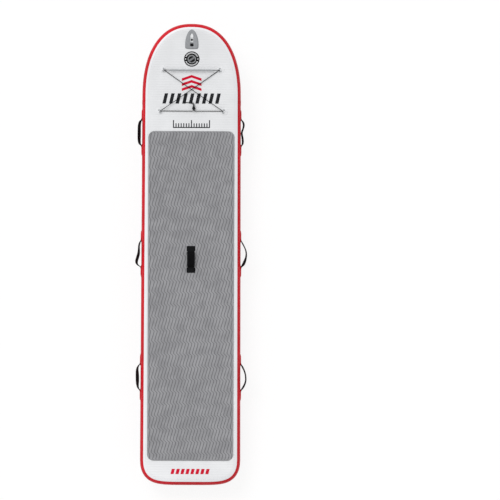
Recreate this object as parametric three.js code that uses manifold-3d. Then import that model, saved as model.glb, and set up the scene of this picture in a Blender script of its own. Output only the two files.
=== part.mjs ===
// Rescue board: an inflatable drop-stitch board with webbing handles, a bow bungee, an inflation valve,
// an accessory mount, two fins and a tow ring. Millimetres: +X is starboard, +Y the nose, +Z up out of the
// deck. The tips of the fins are at z = 0, and the origin lies between them under the middle of the board.
import * as THREE from "three";
import { mergeVertices } from "three/addons/utils/BufferGeometryUtils.js";
import Module from "manifold-3d";

const wasm = await Module();
wasm.setup();

// Driving dimensions: the hull. Its front seams are measured from the nose, its rear seams from the tail.
const boardLength = 3505;
const boardWidth = 762;
const shoulderWidth = 748;
const boardThickness = 152;
const noseLength = 560;
const tailLength = 190;
const railDepth = 60;
const noseRockerLength = 1250;
const noseRocker = 130;
const tailRockerLength = 230;
const tailRocker = 15;
const frontSeam = 600;
const rearSeam = 965;

// Driving dimensions: sheets and the gap that glued or seated pieces keep
const skinThickness = 1.2;
const tapeThickness = 0.9;
const seat = 0.3;

// Driving dimensions: the traction pad, which starts behind the nose and ends ahead of the tail, and the
// carry handle, which lies aft of the board's middle
const padStart = 815;
const padEnd = 185;
const padWidth = 654;
const carryHandleAft = 37.5;

// Driving dimensions: fittings of the bow, each placed by its distance from the nose
const mountPlace = 41;
const valvePlace = 267;
const frontRingPlace = 347;
const frontRingSpan = 442;
const rearRingPlace = 667;
const rearRingSpan = 496;
const lockOffset = 17;
const lockAhead = 32;
const towRingPlace = 176;

// Driving dimensions: rail handles. The front ones are measured from the nose, the middle ones lie ahead of
// the board's middle, and the rear ones are measured from the tail.
const frontHandlePlace = 828;
const middleHandleAhead = 4.5;
const rearHandlePlace = 819;
const railHandleSpan = 200;
const railHandleReach = 46;

// Driving dimensions: the fins, placed by their distance from the tail
const finPlace = 378;
const finSpread = 548;
const finDepth = 90;

// How full the curves are: exponents of the superellipses that the outlines and the rail follow
const noseFullness = 2.3;
const tailFullness = 2.2;
const tailSquareness = 5;
const railFullness = 2.4;

// How finely the curves are cut
const noseSteps = 10;
const tailSteps = 6;
const rockerStep = 80;
const flatStep = 900;
const railAngles = [0, 24, 46, 65, 76, 90];
const tapeAngles = [58, 65, 76];
const skinAngles = [65, 76, 90];
const coreAngles = [0, 24, 46, 65, 90];
const overrun = 20;

const noseY = boardLength / 2;
const tailY = -boardLength / 2;
const shoulderY = noseY - noseLength;
const cornerY = tailY + tailLength;
const halfThickness = boardThickness / 2;
const { degToRad, radToDeg, lerp } = THREE.MathUtils;
const fromNose = (place) => noseY - place;
const fromTail = (place) => tailY + place;

// General geometry

// Closes rings of equal length, one after another, into one body. The first and last ring are closed across
// by a ladder of faces, unless the rings run round in a circle. A tipped ring starts at its tip, on the line
// of symmetry.
function body(rings, { closed = false, tipped = false } = {}) {
  const count = rings[0].length;
  const index = [];
  const quad = (a, b, c, d) => index.push(a, b, c, a, c, d);
  const links = closed ? rings.length : rings.length - 1;
  for (let r = 0; r < links; r++) {
    const here = r * count;
    const next = ((r + 1) % rings.length) * count;
    for (let i = 0; i < count; i++) {
      const j = (i + 1) % count;
      quad(here + i, here + j, next + j, next + i);
    }
  }
  const ladder = (start, flip) => {
    const rungs = tipped ? count / 2 : count / 2 - 1;
    const across = (i) => (tipped ? (count - i) % count : count - 1 - i);
    for (let i = 0; i < rungs; i++) {
      const corners = [i, i + 1, across(i + 1), across(i)].map((k) => start + k);
      quad(...(flip ? corners.reverse() : corners));
    }
  };
  if (!closed) {
    ladder(0, true);
    ladder((rings.length - 1) * count, false);
  }
  const geometry = new THREE.BufferGeometry().setFromPoints(rings.flat());
  geometry.setIndex(index);
  return faceOut(geometry);
}

// Merges a geometry's shared points, drops faces that have closed up, and turns its faces outwards.
function faceOut(geometry) {
  geometry.deleteAttribute("normal");
  geometry.deleteAttribute("uv");
  const merged = mergeVertices(geometry);
  const place = merged.getAttribute("position");
  const corner = [new THREE.Vector3(), new THREE.Vector3(), new THREE.Vector3()];
  const kept = [];
  let volume = 0;
  for (let i = 0; i < merged.index.count; i += 3) {
    const face = [0, 1, 2].map((k) => merged.index.getX(i + k));
    if (new Set(face).size < 3) continue;
    kept.push(...face);
    face.forEach((k, n) => corner[n].fromBufferAttribute(place, k));
    volume += corner[0].dot(corner[1].cross(corner[2]));
  }
  merged.setIndex(volume < 0 ? kept.reverse() : kept);
  return merged;
}

function toSolid(geometry) {
  const g = faceOut(geometry.clone());
  return new wasm.Manifold(
    new wasm.Mesh({
      numProp: 3,
      vertProperties: new Float32Array(g.getAttribute("position").array),
      triVerts: new Uint32Array(g.index.array),
    }),
  );
}

function toGeometry(solid) {
  const mesh = solid.getMesh();
  const geometry = new THREE.BufferGeometry();
  geometry.setAttribute("position", new THREE.BufferAttribute(new Float32Array(mesh.vertProperties), 3));
  geometry.setIndex(new THREE.BufferAttribute(new Uint32Array(mesh.triVerts), 1));
  return geometry;
}

const cut = (whole, ...tools) => toGeometry(tools.reduce((s, t) => s.subtract(toSolid(t)), toSolid(whole)));
const join = (first, ...others) => toGeometry(others.reduce((s, t) => s.add(toSolid(t)), toSolid(first)));

// Splits a stretch into equal steps, each no longer than the given one. The far end is left out.
function stretch(from, to, step) {
  const count = Math.max(1, Math.ceil(Math.abs(to - from) / step));
  return Array.from({ length: count }, (_, i) => lerp(from, to, i / count));
}

// A section swept along a path: each section point is a distance to the side of the path and one up from it.
function sweep(path, section, { closed = false, up = () => null } = {}) {
  let lift = new THREE.Vector3(0, 0, 1);
  const rings = path.map((point, i) => {
    const before = closed ? path.at(i - 1) : path[Math.max(0, i - 1)];
    const after = closed ? path[(i + 1) % path.length] : path[Math.min(path.length - 1, i + 1)];
    const along = after.clone().sub(before).normalize();
    lift = (up(i) ?? lift).clone();
    lift.addScaledVector(along, -lift.dot(along)).normalize();
    const side = along.clone().cross(lift);
    return section.map(([s, u]) => point.clone().addScaledVector(side, s).addScaledVector(lift, u));
  });
  return body(rings, { closed });
}

const circle = (radius, sides) =>
  Array.from({ length: sides }, (_, i) => {
    const turn = ((i + 0.5) / sides) * 2 * Math.PI;
    return [radius * Math.cos(turn), radius * Math.sin(turn)];
  });

const band = (width, thickness) => [
  [-width / 2, -thickness / 2],
  [width / 2, -thickness / 2],
  [width / 2, thickness / 2],
  [-width / 2, thickness / 2],
];

// An open line made longer at both ends by the same length.
function extended(route, length) {
  const beyond = (end, next) => end.clone().add(end.clone().sub(next).setLength(length));
  return [beyond(route[0], route[1]), ...route, beyond(route.at(-1), route.at(-2))];
}

// Cuts the corners off an open line of vectors, so that it bends smoothly and stays within its own points.
function soften(points, times) {
  if (!times) return points;
  const softer = [points[0]];
  for (let i = 0; i < points.length - 1; i++) {
    softer.push(points[i].clone().lerp(points[i + 1], 0.25), points[i].clone().lerp(points[i + 1], 0.75));
  }
  softer.push(points.at(-1));
  return soften(softer, times - 1);
}

// A turned piece: its profile is a list of radius and height, and its axis runs along +Z.
function turned(profile, sides) {
  const closes = profile[0][0] !== 0;
  const points = profile.map(([radius, height]) => new THREE.Vector2(radius, height));
  if (closes) points.push(points[0].clone());
  return faceOut(new THREE.LatheGeometry(points, sides).rotateX(Math.PI / 2));
}

function drum(radius, low, high, sides) {
  return turned([[0, low], [radius, low], [radius, high], [0, high]], sides);
}

function box(low, high) {
  const size = high.map((value, i) => value - low[i]);
  const middle = high.map((value, i) => (value + low[i]) / 2);
  return new THREE.BoxGeometry(...size).translate(...middle);
}

// An outline flat in the XY plane, raised from one height to another.
function raised(shape, from, to, curveSegments = 6) {
  const options = { depth: to - from, bevelEnabled: false, curveSegments };
  return faceOut(new THREE.ExtrudeGeometry(shape, options).translate(0, 0, from));
}

function stadium(length, width) {
  const shape = new THREE.Shape();
  const straight = (length - width) / 2;
  shape.absarc(0, straight, width / 2, 0, Math.PI);
  shape.absarc(0, -straight, width / 2, Math.PI, 2 * Math.PI);
  return shape;
}

function roundedPlate(width, length, corner) {
  const shape = new THREE.Shape();
  const [x, y] = [width / 2 - corner, length / 2 - corner];
  shape.absarc(x, y, corner, 0, Math.PI / 2);
  shape.absarc(-x, y, corner, Math.PI / 2, Math.PI);
  shape.absarc(-x, -y, corner, Math.PI, 1.5 * Math.PI);
  shape.absarc(x, -y, corner, 1.5 * Math.PI, 2 * Math.PI);
  return shape;
}

// A coil of wire round +Z, with its wire's centre between two heights.
function coil(radius, wire, turns, from, to) {
  const stepsEach = 8;
  const count = Math.round(turns * stepsEach);
  const path = Array.from({ length: count + 1 }, (_, i) => {
    const turn = (i / stepsEach) * 2 * Math.PI;
    return new THREE.Vector3(radius * Math.cos(turn), radius * Math.sin(turn), lerp(from, to, i / count));
  });
  return sweep(path, circle(wire / 2, 5));
}

const paint = (color, roughness, metalness = 0) =>
  new THREE.MeshStandardMaterial({ color, roughness, metalness });
const whitePvc = paint("#e6e7ea", 0.45);
const redPvc = paint("#c8102a", 0.42);
const padFoam = paint("#8f9093", 0.9);
const blackWebbing = paint("#17181a", 0.8);
const blackPlastic = paint("#1b1c1e", 0.45);
const greyPlastic = paint("#8d9194", 0.5);
const palePlastic = paint("#b9bdc1", 0.5);
const blackRubber = paint("#1d1d1f", 0.7);
const weave = paint("#d9dadc", 0.8);
const steel = paint("#c9ccd0", 0.25, 1);

function add(parent, name, geometry, material) {
  const mesh = new THREE.Mesh(geometry, material);
  mesh.name = name;
  parent.add(mesh);
  return mesh;
}

// The hull's form

// One half of an outline, from the tip of its nose to the middle of its tail. Both ends are superellipses.
function halfOutline(o) {
  const half = [];
  const shoulder = o.nose - o.noseLength;
  const corner = o.tail + o.tailLength;
  for (let k = 0; k < o.noseSteps; k++) {
    const turn = ((k / o.noseSteps) * Math.PI) / 2;
    const x = (o.shoulderWidth / 2) * Math.sin(turn) ** (2 / o.noseFullness);
    half.push([x, shoulder + o.noseLength * Math.cos(turn) ** (2 / o.noseFullness)]);
  }
  for (const y of o.sideStations) {
    half.push([lerp(o.shoulderWidth, o.width, (shoulder - y) / (shoulder - corner)) / 2, y]);
  }
  for (let k = o.tailSteps; k > 0; k--) {
    const turn = ((k / o.tailSteps) * Math.PI) / 2;
    const x = (o.width / 2) * Math.sin(turn) ** (2 / o.tailSquareness);
    half.push([x, corner - o.tailLength * Math.cos(turn) ** (2 / o.tailFullness)]);
  }
  half.push([0, o.tail]);
  return half;
}

// A whole outline from its starboard half: points with the direction that leads inwards from each.
function wholeOutline(half) {
  const other = half.slice(1, -1).reverse();
  const points = [...half, ...other.map(([x, y]) => [-x, y])];
  return points.map(([x, y], i) => {
    const [ax, ay] = points.at(i - 1);
    const [bx, by] = points[(i + 1) % points.length];
    const run = Math.hypot(bx - ax, by - ay);
    return { x, y, inX: (by - ay) / run, inY: (ax - bx) / run };
  });
}

// A half outline with one more station, where it crosses the line across the board at y.
function withStation(half, y) {
  const after = half.findIndex((point) => point[1] <= y);
  const [[ax, ay], [bx, by]] = [half[after - 1], half[after]];
  const share = (ay - y) / (ay - by);
  return [...half.slice(0, after), [lerp(ax, bx, share), y], ...half.slice(after)];
}

const flatStart = Math.min(shoulderY, noseY - noseRockerLength);
const flatEnd = Math.max(cornerY, tailY + tailRockerLength);
const frontSeamY = fromNose(frontSeam);
const rearSeamY = fromTail(rearSeam);
const plainHalf = halfOutline({
  nose: noseY,
  tail: tailY,
  width: boardWidth,
  shoulderWidth,
  noseLength,
  tailLength,
  noseFullness,
  tailFullness,
  tailSquareness,
  noseSteps,
  tailSteps,
  sideStations: [
    ...stretch(shoulderY, flatStart, rockerStep),
    ...stretch(flatStart, flatEnd, flatStep),
    ...stretch(flatEnd, cornerY, rockerStep),
  ],
});
const boardHalf = [frontSeamY, rearSeamY].reduce(withStation, plainHalf);
const outline = wholeOutline(boardHalf);

function rockerAt(y) {
  const nose = Math.max(0, y - noseY + noseRockerLength) / noseRockerLength;
  const tail = Math.max(0, tailY + tailRockerLength - y) / tailRockerLength;
  return noseRocker * nose ** 2 + tailRocker * tail ** 2;
}

function slopeAt(y) {
  const nose = Math.max(0, y - noseY + noseRockerLength) / noseRockerLength;
  const tail = Math.max(0, tailY + tailRockerLength - y) / tailRockerLength;
  return Math.atan((2 * noseRocker * nose) / noseRockerLength - (2 * tailRocker * tail) / tailRockerLength);
}

// The hull's half width at a station, and the distance from a place on the deck to the hull's edge
function halfWidthAt(y) {
  const after = boardHalf.findIndex((point) => point[1] <= y);
  const [[ax, ay], [bx, by]] = [boardHalf[after - 1], boardHalf[after]];
  return lerp(ax, bx, (ay - y) / (ay - by));
}

function depthAt(x, y) {
  const place = new THREE.Vector3(x, y, 0);
  const edge = new THREE.Line3();
  const nearest = new THREE.Vector3();
  const gaps = outline.map((point, i) => {
    const next = outline[(i + 1) % outline.length];
    edge.set(new THREE.Vector3(point.x, point.y, 0), new THREE.Vector3(next.x, next.y, 0));
    edge.closestPointToPoint(place, true, nearest);
    return nearest.distanceTo(place);
  });
  return Math.min(...gaps);
}

// The rounded rail at an angle up from its widest line: how far in from the edge it lies, and how high.
function railPoint(angle, offset) {
  const turn = degToRad(Math.abs(angle));
  const across = Math.abs(Math.cos(turn)) ** (2 / railFullness);
  const upward = Math.sin(turn) ** (2 / railFullness);
  const slope = [across ** (railFullness - 1) / railDepth, upward ** (railFullness - 1) / halfThickness];
  const size = Math.hypot(...slope);
  const inset = railDepth * (1 - across) - (slope[0] / size) * offset;
  const height = halfThickness * upward + (slope[1] / size) * offset;
  return { inset, height: Math.sign(angle) * height };
}

// The ring round the hull at one angle of the rail, a distance out from the hull's surface.
function hullRing(angle, offset, stations = outline) {
  const { inset, height } = railPoint(angle, offset);
  return stations.map((p) => {
    const y = p.y + p.inY * inset;
    return new THREE.Vector3(p.x + p.inX * inset, y, rockerAt(y) + height);
  });
}

// The height of the deck's or hull's outer face at a place, in the frame of the board's middle.
function faceAt(x, y, side = 1) {
  const fullness = Math.min(1, depthAt(x, y) / railDepth);
  const height = halfThickness * (1 - (1 - fullness) ** railFullness) ** (1 / railFullness);
  return rockerAt(y) + side * height;
}

// The board: core, skins, rails and tapes

const rescueBoard = new THREE.Group();
const board = new THREE.Group();
board.position.z = finDepth + halfThickness;
rescueBoard.add(board);

const coreDepth = -(skinThickness + seat);
const skinRings = (offset, side) => skinAngles.map((angle) => hullRing(side * angle, offset));
const bothSides = (angles) => [...angles.slice(1).reverse().map((angle) => -angle), ...angles];
const wholeHull = (angles, offset) =>
  body(bothSides(angles).map((angle) => hullRing(angle, offset)), { tipped: true });
const coreBlock = wholeHull(coreAngles, coreDepth);
const skin = (side) =>
  body([...skinRings(-skinThickness, side).reverse(), ...skinRings(0, side)], { tipped: true });
const deckSheet = skin(1);

// A tape lies over the joint of rail and skin, and runs round the whole board.
const tape = (side) => {
  const inner = tapeAngles.map((angle) => hullRing(side * angle, seat));
  const outer = tapeAngles.map((angle) => hullRing(side * angle, seat + tapeThickness));
  return body([...inner, ...outer.reverse()], { closed: true });
};
add(board, "hull_skin", skin(-1), whitePvc);
add(board, "deck_seam_tape", tape(1), whitePvc);
add(board, "hull_seam_tape", tape(-1), whitePvc);

// A rail strip covers the stations between two seams. Each end stops half a gap short of its seam, and the
// strip's edges stop short of the skins under the tapes.
function railStrip(stations) {
  const trimmed = stations.map((p) => ({ ...p }));
  const shorten = (end, next) => {
    const run = Math.hypot(next.x - end.x, next.y - end.y);
    end.x += ((next.x - end.x) / run) * (seat / 2);
    end.y += ((next.y - end.y) / run) * (seat / 2);
  };
  shorten(trimmed[0], stations[1]);
  shorten(trimmed.at(-1), stations.at(-2));
  const half = railAngles.filter((angle) => angle > 0 && angle <= skinAngles[0]);
  const angles = bothSides([0, ...half]);
  const edgeSine = (1 - seat / halfThickness) * Math.sin(degToRad(skinAngles[0]));
  const edgeAngle = radToDeg(Math.asin(edgeSine));
  const kept = angles.map((angle) => Math.sign(angle) * Math.min(Math.abs(angle), edgeAngle));
  const outer = kept.map((angle) => hullRing(angle, 0, trimmed));
  const inner = kept.map((angle) => hullRing(angle, -skinThickness, trimmed));
  const lines = [...outer, ...inner.reverse()];
  return body(trimmed.map((_, station) => lines.map((line) => line[station])));
}

const seamIndex = (y, side) => outline.findIndex((p) => p.y === y && Math.sign(p.x) === side);
const between = (from, to) => [...outline, ...outline].slice(from, (to < from ? to + outline.length : to) + 1);
const [frontRight, rearRight] = [seamIndex(frontSeamY, 1), seamIndex(rearSeamY, 1)];
const [frontLeft, rearLeft] = [seamIndex(frontSeamY, -1), seamIndex(rearSeamY, -1)];
add(board, "rail_nose", railStrip(between(frontLeft, frontRight)), redPvc);
add(board, "rail_starboard", railStrip(between(frontRight, rearRight)), redPvc);
add(board, "rail_tail", railStrip(between(rearRight, rearLeft)), redPvc);
add(board, "rail_port", railStrip(between(rearLeft, frontLeft)), redPvc);

// The traction pad: a foam sheet with rounded corners and a bevelled rim

const padThickness = 5;
const padCorner = 48;
const padBevel = 2;
const padCornerSteps = 5;

function padRing(inset, lift) {
  const front = fromNose(padStart);
  const rear = fromTail(padEnd);
  const reach = padWidth / 2 - padCorner;
  const half = [];
  const corner = (y, from) => {
    for (let k = 0; k <= padCornerSteps; k++) {
      const turn = from + (k / padCornerSteps) * (Math.PI / 2);
      half.push([reach + (padCorner - inset) * Math.sin(turn), y + (padCorner - inset) * Math.cos(turn)]);
    }
  };
  half.push([0, front - inset]);
  corner(front - padCorner, 0);
  const side = [
    ...stretch(front - padCorner, flatStart, rockerStep).slice(1),
    ...stretch(flatStart, rear + padCorner, flatStep),
  ];
  half.push(...side.map((y) => [padWidth / 2 - inset, y]));
  corner(rear + padCorner, Math.PI / 2);
  half.push([0, rear + inset]);
  return wholeOutline(half).map((p) => new THREE.Vector3(p.x, p.y, rockerAt(p.y) + halfThickness + lift));
}

const padBase = seat;
const padTop = padBase + padThickness;
const padRings = [padRing(0, padBase), padRing(0, padTop - padBevel), padRing(padBevel, padTop)];
add(board, "traction_pad", body(padRings, { tipped: true }), padFoam);

// The carry handle: a webbing strap bowed over the pad, in a padded sleeve, with a patch under each end

const strapThickness = 2.5;
const carryStrapWidth = 50;
const carryStrapLength = 196;
const carryHandleRise = 34;
const carryFootLength = 30;
const carrySleeveLength = 116;
const carrySleeveThickness = 4;
const carryPatchLength = 40;
const carryPatchWidth = 66;
const carryPatchThickness = 1.6;
const carryPatchCorner = 6;
const carryPatchMargin = 4;
const carryRiseShares = [0, 0.45, 0.8, 0.95, 1, 0.95, 0.8, 0.45, 0];

const carryY = -carryHandleAft;
const carryGroup = new THREE.Group();
carryGroup.position.set(0, carryY, faceAt(0, carryY) + padTop);
board.add(carryGroup);
const strapBase = seat + carryPatchThickness + seat + strapThickness / 2;
const carryArch = carryStrapLength - 2 * carryFootLength;
const carryRoute = soften(
  [
    new THREE.Vector3(0, -carryStrapLength / 2, strapBase),
    ...carryRiseShares.map(
      (share, i) =>
        new THREE.Vector3(
          0,
          lerp(-carryArch / 2, carryArch / 2, i / (carryRiseShares.length - 1)),
          strapBase + share * carryHandleRise,
        ),
    ),
    new THREE.Vector3(0, carryStrapLength / 2, strapBase),
  ],
  1,
);
add(carryGroup, "carry_handle_strap", sweep(carryRoute, band(carryStrapWidth, strapThickness)), blackWebbing);

// The sleeve wraps the strap along the middle of its arch, with a gap all round.
function middleOf(route, length) {
  const inside = route.filter((p) => Math.abs(p.y) < length / 2);
  const [first, last] = [route.indexOf(inside[0]), route.indexOf(inside.at(-1))];
  const end = (a, b, y) => a.clone().lerp(b, (y - a.y) / (b.y - a.y));
  const start = end(route[first - 1], route[first], -length / 2);
  return [start, ...inside, end(route[last], route[last + 1], length / 2)];
}

const sleeveRoute = middleOf(carryRoute, carrySleeveLength);
const sleeveSection = (gap) => band(carryStrapWidth + 2 * gap, strapThickness + 2 * gap);
const sleeveWhole = sweep(sleeveRoute, sleeveSection(seat + carrySleeveThickness));
const sleeveBore = sweep(extended(sleeveRoute, overrun), sleeveSection(seat));
add(carryGroup, "carry_handle_sleeve", cut(sleeveWhole, sleeveBore), blackRubber);

const carryPatch = raised(
  roundedPlate(carryPatchWidth, carryPatchLength, carryPatchCorner),
  seat,
  seat + carryPatchThickness,
);
for (const [name, end] of [["front", 1], ["rear", -1]]) {
  const patch = add(carryGroup, `carry_handle_patch_${name}`, carryPatch, blackWebbing);
  patch.position.y = end * (carryStrapLength / 2 + carryPatchMargin - carryPatchLength / 2);
}

// Fittings stand in frames of their own: the origin on the deck or hull, +Z out of it and +Y towards the nose
// before the frame is turned about its own Z.
function fittingFrame(x, y, { turn = 0, side = 1 } = {}) {
  const frame = new THREE.Group();
  frame.position.set(x, y, faceAt(x, y, side));
  frame.rotation.set(slopeAt(y), side < 0 ? Math.PI : 0, turn);
  frame.updateMatrix();
  board.add(frame);
  return frame;
}

// A piece that sits on the hull is made too deep and then cut to the hull's own form.
const grownHull = wholeHull(railAngles, seat);
const sinking = 4;

function addSeated(frame, name, geometry, material) {
  const fitted = cut(geometry.clone().applyMatrix4(frame.matrix), grownHull);
  return add(frame, name, fitted.applyMatrix4(frame.matrix.clone().invert()), material);
}

// The rail handles: flat webbing between two domed patches, each bowed or twisted in its own way

const railStrapWidth = 38;
const railStrapThickness = 2.5;
const railPatchLength = 90;
const railPatchHeight = 68;
const railPatchRim = 1.2;
const railPatchDome = 6.5;
const railPatchSteps = 12;
const railPatchSizeShares = [1, 0.82, 0.45];
const railPatchRiseShares = [0, 0.6, 1];
const railAnchor = 45;
const railPatchOffset = 32;
const strapStationShares = [0, 0.08, 0.2, 0.35, 0.5, 0.65, 0.8, 0.92, 1];
const strapFloor = seat + railPatchRim + seat + railStrapThickness / 2;

// How far each strap stands out at its stations as shares of its reach, and how far it is rolled there
const strapForms = {
  port_front: {
    reachShare: 0.82,
    outShares: [0, 0.6, 0.88, 0.92, 0.95, 0.98, 1, 0.8, 0],
    rollAngles: [0, 12, 26, 34, 38, 36, 28, 14, 0],
  },
  port_middle: {
    reachShare: 1,
    outShares: [0, 0.18, 0.36, 0.5, 0.66, 0.86, 1, 0.7, 0],
    rollAngles: [0, 10, 12, 12, 18, 26, 24, 12, 0],
  },
  port_rear: {
    reachShare: 0.82,
    outShares: [0, 0.5, 0.82, 0.96, 1, 0.96, 0.82, 0.5, 0],
    rollAngles: [0, 10, 20, 32, 38, 32, 20, 10, 0],
  },
  starboard_front: {
    reachShare: 0.7,
    outShares: [0, 0.6, 1, 0.55, 0.14, 0.4, 0.66, 0.45, 0],
    rollAngles: [0, 12, 14, 8, 6, 8, 12, 12, 0],
  },
  starboard_middle: {
    reachShare: 1,
    outShares: [0, 0.25, 0.56, 0.84, 0.98, 1, 0.86, 0.5, 0],
    rollAngles: [0, 10, 8, 8, 10, 21.4, 22, 14, 0],
  },
  starboard_rear: {
    reachShare: 0.96,
    outShares: [0, 0.4, 0.75, 0.95, 1, 0.95, 0.75, 0.4, 0],
    rollAngles: [0, 10, 9, 9, 9, 9, 9, 10, 0],
  },
};

// A place on the rail's flats: along the board, up from its widest line, and a distance out from its surface.
function onRail(side, y, up, offset) {
  const line = railAngles.map((angle) => railPoint(angle, offset));
  const after = Math.max(1, line.findIndex((p) => p.height >= Math.abs(up)));
  const [low, high] = [line[after - 1], line[after]];
  const inset = lerp(low.inset, high.inset, (Math.abs(up) - low.height) / (high.height - low.height));
  return new THREE.Vector3(side * (halfWidthAt(y) - inset), y, rockerAt(y) + up);
}

function railStrap(side, middle, { reachShare, outShares, rollAngles }) {
  const half = railHandleSpan / 2;
  const point = (y, distance) => onRail(side, y, 0, strapFloor + distance);
  const inner = strapStationShares.map((share, i) => {
    const y = middle + half - share * railHandleSpan;
    return point(y, outShares[i] * reachShare * railHandleReach);
  });
  const anchors = (end, ...distances) => distances.map((d) => point(middle + end * (half + d), 0));
  const fore = anchors(1, railAnchor, railAnchor / 2);
  const aft = anchors(-1, railAnchor / 2, railAnchor);
  const rolls = [0, 0, ...rollAngles, 0, 0].map(
    (angle) => new THREE.Vector3(side * Math.sin(degToRad(angle)), 0, Math.cos(degToRad(angle))),
  );
  return { path: soften([...fore, ...inner, ...aft], 1), lifts: soften(rolls, 1) };
}

const strapSweep = ({ path, lifts }, gap) =>
  sweep(path, band(railStrapThickness + 2 * gap, railStrapWidth + 2 * gap), { up: (i) => lifts[i] });

function railPatch(side, middle) {
  const ring = (size, offset) =>
    Array.from({ length: railPatchSteps }, (_, i) => {
      const turn = (i / railPatchSteps) * 2 * Math.PI;
      const y = middle + (size * railPatchLength * Math.sin(turn)) / 2;
      return onRail(side, y, (size * railPatchHeight * Math.cos(turn)) / 2, offset);
    });
  const rings = railPatchSizeShares.map((size, i) =>
    ring(size, seat + railPatchRim + railPatchRiseShares[i] * (railPatchDome - railPatchRim)),
  );
  return body([ring(1, seat), ...rings], { tipped: true });
}

const handleRows = [
  ["front", fromNose(frontHandlePlace)],
  ["middle", middleHandleAhead],
  ["rear", fromTail(rearHandlePlace)],
];
for (const [sideName, side] of [["port", -1], ["starboard", 1]]) {
  for (const [row, middle] of handleRows) {
    const name = `${sideName}_${row}`;
    const strap = railStrap(side, middle, strapForms[name]);
    add(board, `rail_handle_strap_${name}`, strapSweep(strap, 0), blackWebbing);
    const slot = strapSweep(
      { path: extended(strap.path, seat), lifts: [strap.lifts[0], ...strap.lifts, strap.lifts.at(-1)] },
      seat,
    );
    for (const [endName, end] of [["fore", 1], ["aft", -1]]) {
      const patch = railPatch(side, middle + end * (railHandleSpan / 2 + railPatchOffset));
      add(board, `rail_handle_patch_${name}_${endName}`, cut(patch, slot), redPvc);
    }
  }
}

// The D-rings and their saddles. A ring lies in its own frame: its bar along X through the origin, its bow
// towards +Y.

function ringWire({ span, depth, cornerShare, wire, bowSteps, sides }) {
  const half = span / 2;
  const corner = half * cornerShare;
  const bow = Array.from({ length: bowSteps + 1 }, (_, i) => {
    const turn = (i / bowSteps) * Math.PI;
    return new THREE.Vector3(half * Math.cos(turn), corner + (depth - corner) * Math.sin(turn), 0);
  });
  const bar = [new THREE.Vector3(-half + corner / 2, 0, 0), new THREE.Vector3(half - corner / 2, 0, 0)];
  return sweep([...bar, ...bow], circle(wire / 2, sides), { closed: true });
}

// A round patch with a moulded saddle over the bar of its ring. Both are cut to the hull's form.
function saddlePatch({ radius, thickness, barHeight, wire, saddleLength, saddleWall, sides }) {
  const disc = drum(radius, -sinking, seat + thickness, sides);
  const reach = wire / 2 + seat + saddleWall;
  const arch = new THREE.Shape();
  arch.absarc(0, barHeight, reach, 0, Math.PI);
  arch.lineTo(-reach, seat + thickness / 2);
  arch.lineTo(reach, seat + thickness / 2);
  const bore = new THREE.Path().absarc(0, barHeight, wire / 2 + seat, 0, 2 * Math.PI);
  arch.holes.push(bore);
  const block = raised(arch, -saddleLength / 2, saddleLength / 2, 8);
  block.rotateX(Math.PI / 2).rotateZ(Math.PI / 2);
  return join(disc, block);
}

const bungeeRing = { span: 26, depth: 20, cornerShare: 1 / 3, wire: 4, bowSteps: 8, sides: 6 };
const bungeePatch = {
  radius: 28,
  thickness: 1,
  barHeight: 4.8,
  wire: bungeeRing.wire,
  saddleLength: 16,
  saddleWall: 2.2,
  sides: 24,
};
const ringTilt = 20;

// Directions in the plane of the deck
const towards = (from, to) => new THREE.Vector2(to[0] - from[0], to[1] - from[1]).normalize();
const frontRingY = fromNose(frontRingPlace);
const rearRingY = fromNose(rearRingPlace);
const ringPlaces = {
  front_port: [-frontRingSpan / 2, frontRingY],
  front_starboard: [frontRingSpan / 2, frontRingY],
  rear_port: [-rearRingSpan / 2, rearRingY],
  rear_starboard: [rearRingSpan / 2, rearRingY],
};
const lockPlace = [lockOffset, rearRingY + lockAhead];
const ringPulls = {
  front_port: [ringPlaces.front_starboard, ringPlaces.rear_starboard],
  front_starboard: [ringPlaces.front_port, ringPlaces.rear_port],
  rear_port: [lockPlace, ringPlaces.front_starboard],
  rear_starboard: [lockPlace, ringPlaces.front_port],
};

// Each ring points along the middle of its two strands.
const ringFrames = {};
for (const [name, place] of Object.entries(ringPlaces)) {
  const pull = towards(place, ringPulls[name][0]).add(towards(place, ringPulls[name][1]));
  const frame = fittingFrame(...place, { turn: pull.angle() - Math.PI / 2 });
  ringFrames[name] = frame;
  addSeated(frame, `bungee_patch_${name}`, saddlePatch(bungeePatch), whitePvc);
  const ring = add(frame, `bungee_ring_${name}`, ringWire(bungeeRing), steel);
  ring.position.z = bungeePatch.barHeight;
  ring.rotation.x = degToRad(ringTilt);
}

// The bungee cord runs from the cord lock round all four rings and back. Its points are listed in the frames
// of the fittings that they lie at: across, outwards and up.

const cordDiameter = 5;
const cordSides = 6;
const crossY = lerp(rearRingY, frontRingY, rearRingSpan / (rearRingSpan + frontRingSpan));
const crossFrame = fittingFrame(0, crossY);
const lockFrame = fittingFrame(...lockPlace);

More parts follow.
